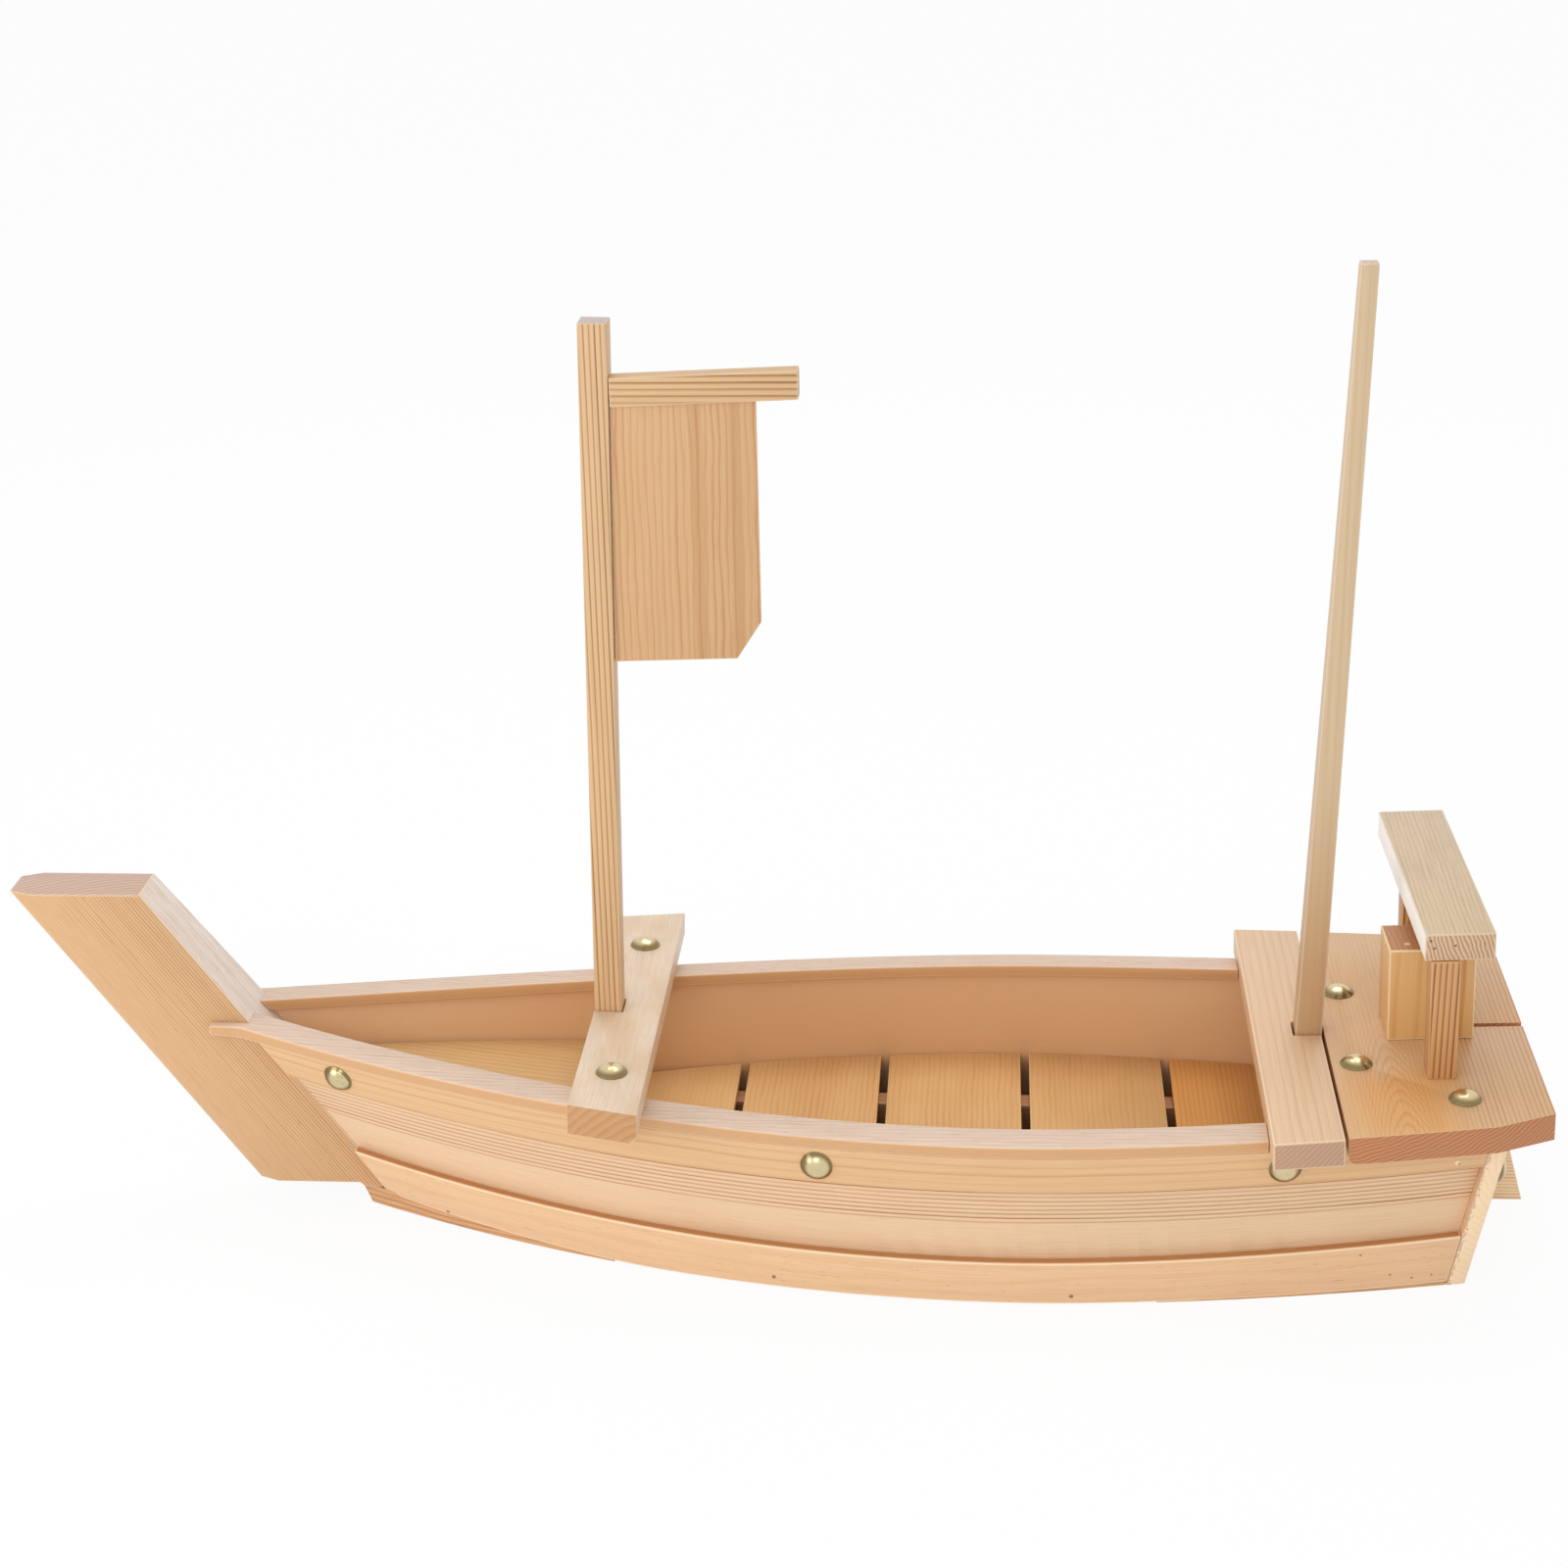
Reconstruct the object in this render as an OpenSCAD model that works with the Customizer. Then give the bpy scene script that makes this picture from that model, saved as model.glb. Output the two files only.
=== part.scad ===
// Wooden serving boat: a planked hull on a flat bottom board, with a slatted
// floor, two thwarts, a stern deck, a raked stem, a mast with a blank board
// for a sail, and a tapered pole aft. Millimetres, bow towards -X.
// X is zero at the middle of the overall length, Z at the underside.

/* [Hull] */
// Width over the rails at the widest station
beam = 166; // [150:1:190]
// Width of the bottom at the widest station
bottom_beam = 156; // [140:1:164]
// Width over the rails' curves where they close at the bow
bow_beam = 22; // [16:0.5:24]
// Width over the rails at the transom
stern_beam = 139; // [125:1:150]
// Width of the bottom at the transom
stern_bottom_beam = 118; // [105:1:130]
// Distance of the widest station aft of the lowest point of the sheer
wide_back = 30; // [10:1:50]
// Length from the widest station to where the rails close on the stem
bow_run = 330; // [300:1:370]
// Length from the widest station to the foot of the transom
stern_run = 161.4; // [150:0.2:185]
// Height of the rails at the lowest point of the sheer
side_h = 71.4; // [66:0.2:80]
// Rise of the rails from there to the bow
bow_rise = 14.2; // [8:0.2:22]
// Rise of the rails from there to the transom
stern_rise = 4.7; // [2:0.1:8]

/* [Rails and planking] */
// Width of a rail
rail_w = 13.1; // [11:0.1:16]
// Thickness of a rail
rail_t = 4.8; // [3.5:0.1:6]
// How far a rail's outer edge lies below its inner edge
rail_cant = 0.9; // [0:0.1:1.5]
// Length of the rails' tips along the stem's sides
rail_lap = 13.5; // [8:0.1:16]
// Width of the rails' tips beside the stem
rail_tip_w = 4.2; // [2:0.1:6]
// How much the tips are dressed down
rail_tip_drop = 0.6; // [0:0.1:2.4]
// Length over which they are dressed down
rail_dress = 13; // [8:0.5:20]
// Thickness of the side planks
plank_t = 5; // [3.5:0.1:6]
// Thickness of the strakes that lie on the planks
strake_t = 4.7; // [3:0.1:6]
// How far the strakes stand out past the rails
strake_proud = 0.5; // [0:0.1:1]
// Width of the upper strakes
upper_strake_w = 14.8; // [12:0.1:18]
// Width of plank that shows between the strakes
plank_show = 32.2; // [26:0.2:36]
// Height of the lower strakes' bottom edge above the ground
strake_lift = 0.4; // [0.2:0.1:1]
// How much higher that edge is at the bow
strake_bow_lift = 9; // [4:0.1:11]
// Distance forward of the lowest point of the sheer at which that rise starts
strake_rise_from = 111; // [80:1:140]
// How much higher that edge is at the transom
strake_stern_lift = 1.6; // [0:0.1:3]
// How much is trimmed off that edge beside the stem
strake_trim = 1.5; // [0.5:0.1:2.5]
// Distance forward of the lowest point of the sheer at which the trimming starts
strake_trim_from = 224; // [215:0.5:230]

/* [Stem and transom] */
// Distance from where the rails' curves close to the stem's rear face, at rail height
stem_back = 18.5; // [16:0.1:22]
// Thickness of the stem
stem_t = 26.6; // [22:0.2:29]
// Thickness of the stem at its top, where its starboard side is planed down
stem_top_t = 21.6; // [16:0.2:26]
// Height at which that planing starts
stem_plane_z = 89; // [88:1:110]
// Width of the stem, square to its length
stem_w = 43.9; // [38:0.1:50]
// Lean of the stem forwards from upright, in degrees
stem_rake = 35; // [30:0.1:38]
// Height of the stem's top
stem_h = 138.2; // [120:0.2:160]
// Width of the chamfers on its front edges
stem_chamfer_w = 3.6; // [2:0.1:6]
// Depth of those chamfers, square to the stem's length
stem_chamfer = 6.8; // [4:0.1:12]
// How much is cut off the stem's foot forward of the bottom board
stem_foot_cut = 1.9; // [0.5:0.1:4]
// Thickness of the transom along the hull
transom_t = 7; // [5:0.1:9]
// Lean of the transom aft from upright, in degrees
transom_rake = 9.5; // [6:0.1:13]
// Thickness of the rudder
rudder_t = 3; // [2:0.1:4]
// Reach of the rudder's foot behind the transom
rudder_reach = 30.3; // [22:0.1:36]
// Height of the rudder's foot
rudder_lift = 4.4; // [2:0.1:10]

/* [Floors] */
// Thickness of the bottom board
board_t = 8.2; // [6:0.1:10]
// Height of the slats' top face
floor_h = 30; // [24:0.2:36]
// Thickness of the slats
slat_t = 4.5; // [3:0.1:6]
// Width of a slat
slat_w = 55.4; // [50:0.1:57]
// Distance from one slat to the next
slat_pitch = 59.1; // [58:0.1:62]
// Middle of the third slat, aft of the lowest point of the sheer
slat_mid = 1.4; // [-4:0.1:4]
// Width of the runners under the slats
runner_w = 9.5; // [6:0.1:14]
// Distance of the runners' middles from the centre line
runner_y = 37; // [25:0.5:48]
// Distance of the runners' fore ends behind the bulkhead
runner_back = 10; // [8:0.5:30]
// Thickness of the bow floor
bow_floor_t = 4.5; // [3:0.1:6]
// Height of the bow floor's top at its aft edge
bow_floor_h = 46.6; // [40:0.2:52]
// Climb of the bow floor, in degrees
bow_floor_climb = 7.2; // [4:0.1:8]
// Thickness of the bulkhead under the bow floor's aft edge
bulkhead_t = 4.5; // [3:0.1:7]

/* [Thwarts and stern deck] */
// Distance of the bow thwart's middle from the lowest point of the sheer
bow_thwart_x = 128.5; // [118:0.5:134]
// Width of the bow thwart
bow_thwart_w = 26.6; // [20:0.2:30]
// Thickness of the bow thwart
bow_thwart_t = 12.2; // [9:0.1:15]
// How far the bow thwart's ends stand out past the rails
bow_thwart_out = 22.6; // [14:0.2:30]
// Distance of the stern thwart's middle from the lowest point of the sheer
stern_thwart_x = 132.8; // [126:0.2:134]
// Width of the stern thwart
stern_thwart_w = 26.4; // [24:0.2:30]
// Thickness of the stern thwart and the stern deck
deck_t = 11; // [9:0.1:13]
// How far the stern thwart's ends stand out past the rails
stern_thwart_out = 14.3; // [8:0.1:20]
// Gap between the stern thwart and the stern deck
deck_gap = 1.3; // [0.3:0.1:2]
// Length of the stern deck
deck_len = 77; // [70:0.5:90]
// How far the stern deck's sides stand out past the line of the rails
deck_out = 13.4; // [8:0.1:18]
// Length of the tapered corners at the deck's aft end
deck_corner = 22; // [12:0.5:30]
// Width of the deck's aft edge
deck_aft_w = 144; // [120:1:150]
// Width of the slot in the deck
deck_slot_w = 3; // [2:0.1:5]
// Width and height of the batten under the deck
deck_batten_w = 13; // [10:0.5:16]

/* [Cabin block and stand] */
// Distance of the block's middle from the deck's front edge
cabin_back = 39.7; // [34:0.1:44]
// Length of the block along the boat
cabin_len = 33.2; // [26:0.2:36]
// Width of the block
cabin_w = 23.5; // [16:0.5:30]
// Turn of the block out of square, in degrees
cabin_turn = 1; // [0:0.1:2]
// Height of the block
cabin_h = 38.5; // [30:0.5:46]
// Thickness of the square posts
post_w = 10.9; // [8:0.1:14]
// Distance between the posts' outer faces
stand_w = 88.8; // [74:0.2:100]
// Height of the posts
post_h = 49.3; // [48:0.1:60]
// Width of the beam on the posts
stand_beam_w = 26; // [18:0.2:32]
// Thickness of the beam
stand_beam_t = 10.8; // [8:0.1:14]
// Length of the beam
stand_beam_len = 118.5; // [100:0.5:130]
// Distance of the beam's middle from the centre line, to starboard
stand_beam_shift = 16; // [0:0.5:18]
// Distance of the beam's middle behind the posts' middle
stand_beam_back = 4; // [0:0.1:6]
// Turn of the beam out of square, in degrees
stand_beam_turn = 1.2; // [0:0.1:2]

/* [Mast, boom and pole] */
// Thickness of the square mast
mast_w = 10.9; // [8:0.1:13]
// Lean of the mast and the pole aft, in degrees
mast_rake = 1.29; // [0:0.01:2]
// Height of the mast's top
mast_h = 363.6; // [300:1:420]
// Distance of the mast's middle forward of the bow thwart's middle
mast_fore = 7.3; // [2:0.1:7.6]
// Height of the boom
boom_w = 10.9; // [8:0.1:13]
// Depth of the boom, port to starboard
boom_t = 8; // [5:0.1:10]
// Length of the boom
boom_len = 69.4; // [60:0.2:80]
// Distance of the boom's middle line below the mast's top, at the mast
boom_drop = 25.8; // [18:0.2:40]
// Climb of the boom aft, in degrees
boom_climb = 2.2; // [0:0.1:4]
// Width of the board that hangs as a sail, at its middle
sail_w = 55; // [46:0.2:60]
// Height of that board
sail_h = 99; // [80:0.5:120]
// Thickness of that board
sail_t = 3; // [2:0.1:5]
// Width of the corner cut off it
sail_corner_w = 9.3; // [4:0.1:16]
// Height of that corner
sail_corner_h = 14.4; // [4:0.1:24]
// How much higher the board's lower edge is at that corner than at the mast
sail_low_rise = 1.4; // [0:0.1:4]
// Distance of the board's middle to port of the boom's
sail_set = 1; // [0:0.1:2]
// Thickness of the pole where it stands in the stern thwart
pole_foot_w = 11; // [8:0.1:13]
// Thickness of the pole at its top
pole_top_w = 6.6; // [4:0.1:8]
// Height of the pole's top
pole_h = 383; // [300:1:440]
// Distance of the pole's middle forward of the stern thwart's aft edge
pole_fore = 5.2; // [4.8:0.1:5.5]

/* [Nails] */
// Diameter of the domed nail heads
nail_d = 12.3; // [9:0.1:14]
// Height of the domes
dome_h = 3.3; // [2:0.1:5]
// Diameter of the nails' shanks
shank_d = 1.8; // [1.2:0.1:2.4]
// Length of the bow thwart's nails under the head, through the rails into the planks
thwart_shank = 22; // [18:0.2:23]
// Length of the deck's front nails under the head, into the batten
batten_shank = 20; // [14:0.5:22]
// Length of the deck's side nails under the head
deck_shank = 10; // [6:0.2:10.6]
// Length of the transom's nails under the head, into the planks' ends
transom_shank = 12; // [9:0.2:12.4]
// Length of the side nails under the head, through the strakes into the planks
side_shank = 8.4; // [6:0.1:9]
// Distance of the deck's front nails from the centre line
deck_nail_y = 30.5; // [24:0.5:36]
// Distance of those nails behind the deck's front edge
deck_nail_back = 9.3; // [7:0.1:12]
// Distance of the deck's side nails behind that edge
deck_side_nail_back = 46; // [30:0.5:50]
// Height of the transom's nails
transom_nail_z = 51; // [40:0.5:54]
// Distance of the first side nails forward of the lowest point of the sheer
side_nail_fore = 241.4; // [200:0.2:250]
// Distance of the second side nails forward of the lowest point of the sheer
side_nail_mid = 49; // [20:0.5:90]
// Distance of the last side nails behind the rails' ends
side_nail_aft = 6.2; // [0:0.1:12]

/* [Fit] */
// Gap left between pieces that are fixed to each other
joint_gap = 0.15; // [0.1:0.01:0.3]
// Gap round the mast and the pole in their slots
slot_gap = 0.5; // [0.2:0.1:0.8]
// Gap round a nail's shank
shank_gap = 0.05; // [0.02:0.01:0.1]

/* [Hidden] */
// Number of slats
slats = 5;
SLAT_NODES = [for (i = [1:slats]) str("deck_slat_", i)];

// Steps along a rail
rail_steps = 34;
// Steps along its tip
tip_steps = 3;
// Steps up the transom's edges
transom_steps = 8;
// Exponents of the hull's curves
bow_power = 1.8;
chine_power = 2;
stern_power = 1.7;
sheer_power = 2.3;
lift_power = 1.5;
// Reach of cutting shapes past what they cut
past = 1;

// Stations on X, aft of the lowest point of the sheer, and the sheer's tilt at the thwarts
bow_x = wide_back - bow_run;
stern_x = wide_back + stern_run;
rail_tip_x = bow_x + stem_back - rail_lap;
stern_tilt = sheer_tilt(stern_thwart_x);
bow_tilt = sheer_tilt(-bow_thwart_x);
rail_end_x = stern_thwart_x - stern_thwart_w / 2 * cos(stern_tilt);
deck_x = stern_thwart_x + (stern_thwart_w / 2 + deck_gap) * cos(stern_tilt);
bow_step_x = slat_fore_x(1) - joint_gap;
nail_stations = [-side_nail_fore, -side_nail_mid, rail_end_x + side_nail_aft];
nail_depth = rail_t + rail_cant + upper_strake_w / 2;

// Height of the rails' inner edge, and its slope in degrees
function sheer(x) = side_h + (x < 0
    ? bow_rise * pow(x / bow_x, sheer_power)
    : stern_rise * pow(x / stern_x, 2));
function sheer_tilt(x) = atan(x < 0
    ? bow_rise * sheer_power / bow_x * pow(x / bow_x, sheer_power - 1)
    : 2 * stern_rise * x / pow(stern_x, 2));

// Half breadth over the rails, and of the bottom
function rail_y(x) = beam / 2 - (x < wide_back
    ? (beam - bow_beam) / 2 * pow((wide_back - x) / bow_run, bow_power)
    : (beam - stern_beam) / 2 * pow((x - wide_back) / stern_run, stern_power));
// Where the chines' curves end, forward of the stem's rear face and off the centre line
chine_lead = 7.7;
chine_end_y = 12;
chine_end_x = stem_rear_x(board_t) - chine_lead;
function chine_y(x) = bottom_beam / 2 - (x < wide_back
    ? (bottom_beam - 2 * chine_end_y) / 2
        * pow((wide_back - x) / (wide_back - chine_end_x), chine_power)
    : (bottom_beam - stern_bottom_beam) / 2
        * pow((x - wide_back) / stern_run, stern_power));

// Half breadth of the straight-flared sides at height z
function side_y(x, z) = chine_y(x)
    + (rail_y(x) - chine_y(x)) * z / (sheer(x) - rail_cant);

// Offsets of the boards' faces from the sides
strake_in = strake_proud - strake_t;
plank_out = strake_in - joint_gap;
plank_in = plank_out - plank_t;

// Width of a rail across the boat, where it runs at an angle
rail_step = 0.5;
function rail_slope(x) = (rail_y(x + rail_step) - rail_y(x - rail_step)) / (2 * rail_step);
function rail_across(x) = rail_w * norm([1, rail_slope(x)]);

// Heights of a rail's two faces at a distance y from the centre line
function rail_top_z(x, y) = sheer(x)
    - rail_cant * (y - rail_y(x) + rail_across(x)) / rail_across(x);
function rail_under_z(x, y) = rail_top_z(x, y) - rail_t;

// Underside of the stern thwart and the stern deck
seat_z = sheer(rail_end_x) - rail_t - rail_cant / 2;
function seat(x) = seat_z + tan(stern_tilt) * (x - rail_end_x);

// Heights of the boards' edges, each at station x and distance y
near_end = 1;
top_edge = function(x, y) (x > rail_end_x + near_end ? seat(x)
    : x < rail_end_x - near_end ? rail_under_z(x, y)
    : min(seat(x), rail_under_z(x, y))) - joint_gap;
upper_edge = function(x, y) sheer(x) - rail_t - rail_cant - upper_strake_w;
lower_edge = function(x, y) sheer(x) - rail_t - rail_cant - upper_strake_w - plank_show;
board_edge = function(x, y) board_t + joint_gap;
lift_start_x = -strake_rise_from;
function strake_bottom(x) = strake_lift
    + (x < lift_start_x
        ? strake_bow_lift * pow((lift_start_x - x) / (lift_start_x - chine_end_x), lift_power) : 0)
    + (x > wide_back ? strake_stern_lift * pow((x - wide_back) / stern_run, lift_power) : 0);
bottom_edge = function(x, y) strake_bottom(x);
foot_h = 4;
foot_edge = function(x, y) max(board_edge(x, y), strake_bottom(x)) + foot_h;

// The stem's rear face and the transom's two faces at height z
function stem_rear_x(z) = bow_x + stem_back + tan(stem_rake) * (sheer(bow_x) - z);
function transom_fore_x(z) = stern_x + tan(transom_rake) * z;
function transom_aft_x(z) = transom_fore_x(z) + transom_t;

// Station at share s of a board's length at height z
function along(s, z) = let (
    fore = stem_rear_x(z) + joint_gap,
    aft = transom_fore_x(z) - joint_gap
) fore + (aft - fore) * s;
function share(x, z) = (x - stem_rear_x(z)) / (transom_fore_x(z) - stem_rear_x(z));

// Point on a board's edge, settled in a few passes between its station and its height
function settle(s, edge, off, z, passes = 5) = let (
    x = along(s, z),
    y = side_y(x, z) + off
) passes == 0 ? [x, y, z] : settle(s, edge, off, edge(x, y), passes - 1);

// Sections of the side boards, to starboard; the boards bend at the same heights
function edge_points(s, edges, off) = [for (edge = edges) settle(s, edge, off, side_h / 2)];
function plank_section(s) = concat(
    edge_points(s, [top_edge, board_edge], plank_in),
    edge_points(s, [board_edge, foot_edge, lower_edge, upper_edge, top_edge], plank_out)
);
function upper_section(s) = concat(
    edge_points(s, [top_edge, upper_edge], strake_in),
    edge_points(s, [upper_edge, top_edge], strake_proud)
);
function lower_section(s) = concat(
    edge_points(s, [lower_edge, foot_edge, bottom_edge], strake_in),
    edge_points(s, [bottom_edge, lower_edge], strake_proud)
);

// Shares at which the boards' sections stand, one of them where the rails end
fore_steps = 31;
aft_steps = 6;
rail_end_share = share(rail_end_x, seat_z);
board_shares = concat(
    [for (i = [0:fore_steps]) rail_end_share * i / fore_steps],
    [for (i = [1:aft_steps]) rail_end_share + (1 - rail_end_share) * i / aft_steps]
);

// Solid through a row of sections, each turning anticlockwise seen from its far side
module loft(rows) {
    n = len(rows[0]);
    last = len(rows) - 1;
    polyhedron(
        points = [for (row = rows) each row],
        faces = concat(
            [[for (j = [0:n - 1]) j]],
            [[for (j = [n - 1:-1:0]) last * n + j]],
            [for (i = [0:last - 1], j = [0:n - 1]) let (k = (j + 1) % n)
                [(i + 1) * n + j, (i + 1) * n + k, i * n + k, i * n + j]]
        )
    );
}

// Places the hull's stations so that the whole boat is centred on X
aft_end_x = transom_aft_x(rudder_lift) + rudder_reach;
fore_end_x = stem_rear_x(stem_h) - stem_w / cos(stem_rake);
middle_x = (aft_end_x + fore_end_x) / 2;
module afloat() {
    translate([-middle_x, 0, 0]) children();
}

module starboard() {
    afloat() children();
}

module port() {
    afloat() mirror([0, 1, 0]) children();
}

// Plain frames: extrudes an outline drawn in X and Z to both sides of the centre line
module upright(width) {
    rotate([90, 0, 0]) translate([0, 0, -width / 2]) linear_extrude(width) children();
}

// Outline of the bottom, off past the chines
function board_plan(off, from, to, steps) = concat(
    [for (i = [0:steps]) let (x = from + (to - from) * i / steps) [x, -chine_y(x) - off]],
    [for (i = [steps:-1:0]) let (x = from + (to - from) * i / steps) [x, chine_y(x) + off]]
);
board_lead = 13.1;
board_fore_x = stem_rear_x(board_t) - board_lead;
board_bevel = 4.1;
board_steps = 30;
board_aft_x = transom_fore_x(0) - joint_gap;
// Lip that shows under the rising strakes at the bow
lip_under = 0.25;
lip_end_x = lift_start_x - 20;
lip_steps = 7;
stern_lip_x = wide_back + 50;
stern_lip_z = strake_bottom(stern_x) - joint_gap;

module bottom_board() {
    color("burlywood") afloat() {
        intersection() {
            linear_extrude(board_t)
                polygon(board_plan(plank_out, board_fore_x, transom_fore_x(board_t), board_steps));
            upright(beam) polygon([
                [board_fore_x, board_t], [board_fore_x + board_bevel, 0],
                [board_aft_x, 0], [transom_fore_x(board_t) - joint_gap, board_t]
            ]);
        }
        intersection() {
            linear_extrude(board_t)
                polygon(board_plan(-lip_under, board_fore_x, lift_start_x, 2 * lip_steps));
            upright(beam) polygon(concat(
                [[board_fore_x, board_t - joint_gap], [board_fore_x + board_bevel, 0],
                    [lip_end_x, 0]],
                [for (i = [lip_steps:-1:0]) let (
                    x = board_fore_x + (lip_end_x - board_fore_x) * i / lip_steps
                ) [x, min(strake_bottom(x), board_t) - joint_gap]]
            ));
        }
        intersection() {
            linear_extrude(board_t)
                polygon(board_plan(-lip_under, stern_lip_x, transom_fore_x(board_t), lip_steps));
            upright(beam) polygon(concat(
                [[board_aft_x, 0], [stern_lip_x, 0]],
                [for (i = [0:lip_steps - 1]) let (
                    x = stern_lip_x + (board_aft_x - stern_lip_x) * i / lip_steps
                ) [x, strake_bottom(x) - joint_gap]],
                [[transom_fore_x(stern_lip_z) - joint_gap, stern_lip_z]]
            ));
        }
    }
}

// Stem: a straight raked board with chamfered front edges, notched over the bottom board
stem_across = stem_w / cos(stem_rake);
chamfer_across = stem_chamfer / cos(stem_rake);
stem_notch_run = 2;

function stem_far_y(z) = stem_t / 2
    - (stem_t - stem_top_t) * max(0, (z - stem_plane_z) / (stem_h - stem_plane_z));
function stem_row(z, grow) = let (
    rear = stem_rear_x(z) + grow,
    fore = stem_rear_x(z) - stem_across - grow,
    near = -stem_t / 2 - grow,
    far = stem_far_y(z) + grow
) [
    [fore + chamfer_across, near, z], [rear, near, z],
    [rear, far, z], [fore + chamfer_across, far, z],
    [fore, far - stem_chamfer_w, z], [fore, near + stem_chamfer_w, z]
];

module stem_solid(grow = 0) {
    loft([for (z = [board_t - grow, stem_plane_z, stem_h + grow]) stem_row(z, grow)]);
}

module stem() {
    cut_z = board_t + stem_foot_cut;
    color("tan") afloat() difference() {
        stem_solid();
        upright(beam) polygon([
            [fore_end_x, 0], [board_fore_x + stem_notch_run, 0],
            [board_fore_x + stem_notch_run, board_t], [board_fore_x, cut_z], [fore_end_x, cut_z]
        ]);
    }
}

// Transom, cut off under the deck, and the rudder behind it
function transom_row(z) = let (
    fore = transom_fore_x(z),
    aft = transom_aft_x(z),
    y_fore = side_y(fore, z) + strake_proud,
    y_aft = side_y(aft, z) + strake_proud
) [[fore, -y_fore, z], [aft, -y_aft, z], [aft, y_aft, z], [fore, y_fore, z]];

module transom() {
    top = seat(transom_aft_x(side_h)) + past;
    color("wheat") afloat() difference() {
        intersection() {
            loft([for (i = [0:transom_steps])
                transom_row(strake_lift + (top - strake_lift) * i / transom_steps)]);
            under_deck();
        }
        at_transom_nails() nail_hole(transom_shank);
    }
}

// Everything that lies below the stern deck's underside
module under_deck() {
    upright(2 * beam) polygon([
        [rail_end_x, 0], [aft_end_x + past, 0],
        [aft_end_x + past, seat(aft_end_x + past) - joint_gap], [rail_end_x, seat(rail_end_x) - joint_gap]
    ]);
}

rudder_head = 1.5;
rudder_under_deck = 2;
module rudder() {
    back = joint_gap;
    top = seat(transom_aft_x(side_h)) - rudder_under_deck;
    color("wheat") afloat() upright(rudder_t) polygon([
        [transom_aft_x(rudder_lift) + back, rudder_lift],
        [aft_end_x, rudder_lift],
        [transom_aft_x(top) + back + rudder_head, top],
        [transom_aft_x(top) + back, top]
    ]);
}

// Side planking between the bottom board and the rails
module side_plank() {
    color("peachpuff") difference() {
        loft([for (s = board_shares) plank_section(s)]);
        at_side_nails() nail_hole(side_shank);
        at_thwart_nails() nail_hole(thwart_shank);
        at_transom_nails() nail_hole(transom_shank);
    }
}

module upper_strake() {
    difference() {
        loft([for (s = board_shares) upper_section(s)]);
        at_side_nails() nail_hole(side_shank);
    }
}

trim_run = 1.6;
trim_steps = 4;
module lower_strake() {
    trim_x = -strake_trim_from;
    difference() {
        loft([for (s = board_shares) lower_section(s)]);
        upright(beam) polygon(concat(
            [[trim_x + trim_run, -past],
                [trim_x + trim_run, strake_bottom(trim_x + trim_run) - joint_gap]],
            [for (i = [0:trim_steps]) let (x = trim_x + (board_fore_x - trim_x) * i / trim_steps)
                [x, strake_bottom(x) + strake_trim]],
            [[board_fore_x, -past]]
        ));
    }
}

rail_dress_x = rail_tip_x + rail_dress;
function rail_section(x) = let (
    outer = max(rail_y(x), stem_t / 2 + rail_tip_w),
    inner = rail_y(x) - rail_across(x),
    drop = rail_tip_drop * max(0, rail_dress_x - x) / rail_dress
) [
    [x, inner, rail_under_z(x, inner)], [x, outer, rail_under_z(x, outer)],
    [x, outer, rail_top_z(x, outer) - drop], [x, inner, rail_top_z(x, inner) - drop]
];

module cap_rail() {
    end = rail_end_x - joint_gap - tan(stern_tilt) * (rail_t + rail_cant);
    stations = concat(
        [for (i = [0:tip_steps - 1]) rail_tip_x + rail_dress * i / tip_steps],
        [for (i = [0:rail_steps]) rail_dress_x + (end - rail_dress_x) * i / rail_steps]
    );
    difference() {
        loft([for (x = stations) rail_section(x)]);
        stem_solid(joint_gap);
        at_thwart_nails() nail_hole(thwart_shank);
    }
}

module side_plank_port() { port() side_plank(); }
module side_plank_starboard() { starboard() side_plank(); }
module upper_strake_port() { color("sandybrown") port() upper_strake(); }
module upper_strake_starboard() { color("sandybrown") starboard() upper_strake(); }
module lower_strake_port() { color("sandybrown") port() lower_strake(); }
module lower_strake_starboard() { color("sandybrown") starboard() lower_strake(); }
module cap_rail_port() { color("mistyrose") port() cap_rail(); }
module cap_rail_starboard() { color("mistyrose") starboard() cap_rail(); }

// Slatted floor on two runners, and the floor of the bow
slat_low = floor_h - slat_t;
function slat_fore_x(i) = slat_mid + (i - 3) * slat_pitch - slat_w / 2;

// Half breadth between the planks at height z
function inside_y(x, z) = side_y(x, z) + plank_in - 2 * joint_gap;

function slat_plan(from, to, steps = 5) = concat(
    [for (i = [0:steps]) let (x = from + (to - from) * i / steps) [x, -inside_y(x, slat_low)]],
    [for (i = [steps:-1:0]) let (x = from + (to - from) * i / steps) [x, inside_y(x, slat_low)]]
);

module deck_slat(i) {
    from = slat_fore_x(i);
    color("moccasin") afloat() translate([0, 0, slat_low])
        linear_extrude(slat_t) polygon(slat_plan(from, from + slat_w));
}

runner_end_x = slat_fore_x(slats) + slat_w;
module slat_runner() {
    from = bow_step_x + runner_back;
    low = board_t + joint_gap;
    translate([from, runner_y - runner_w / 2, low])
        cube([runner_end_x - from, runner_w, slat_low - joint_gap - low]);
}
module slat_runner_port() { color("tan") port() slat_runner(); }
module slat_runner_starboard() { color("tan") starboard() slat_runner(); }

// Top of the bow floor at station x
function bow_floor_z(x) = bow_floor_h + tan(bow_floor_climb) * (bow_step_x - x);
bow_floor_drop = bow_floor_t / cos(bow_floor_climb);

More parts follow.
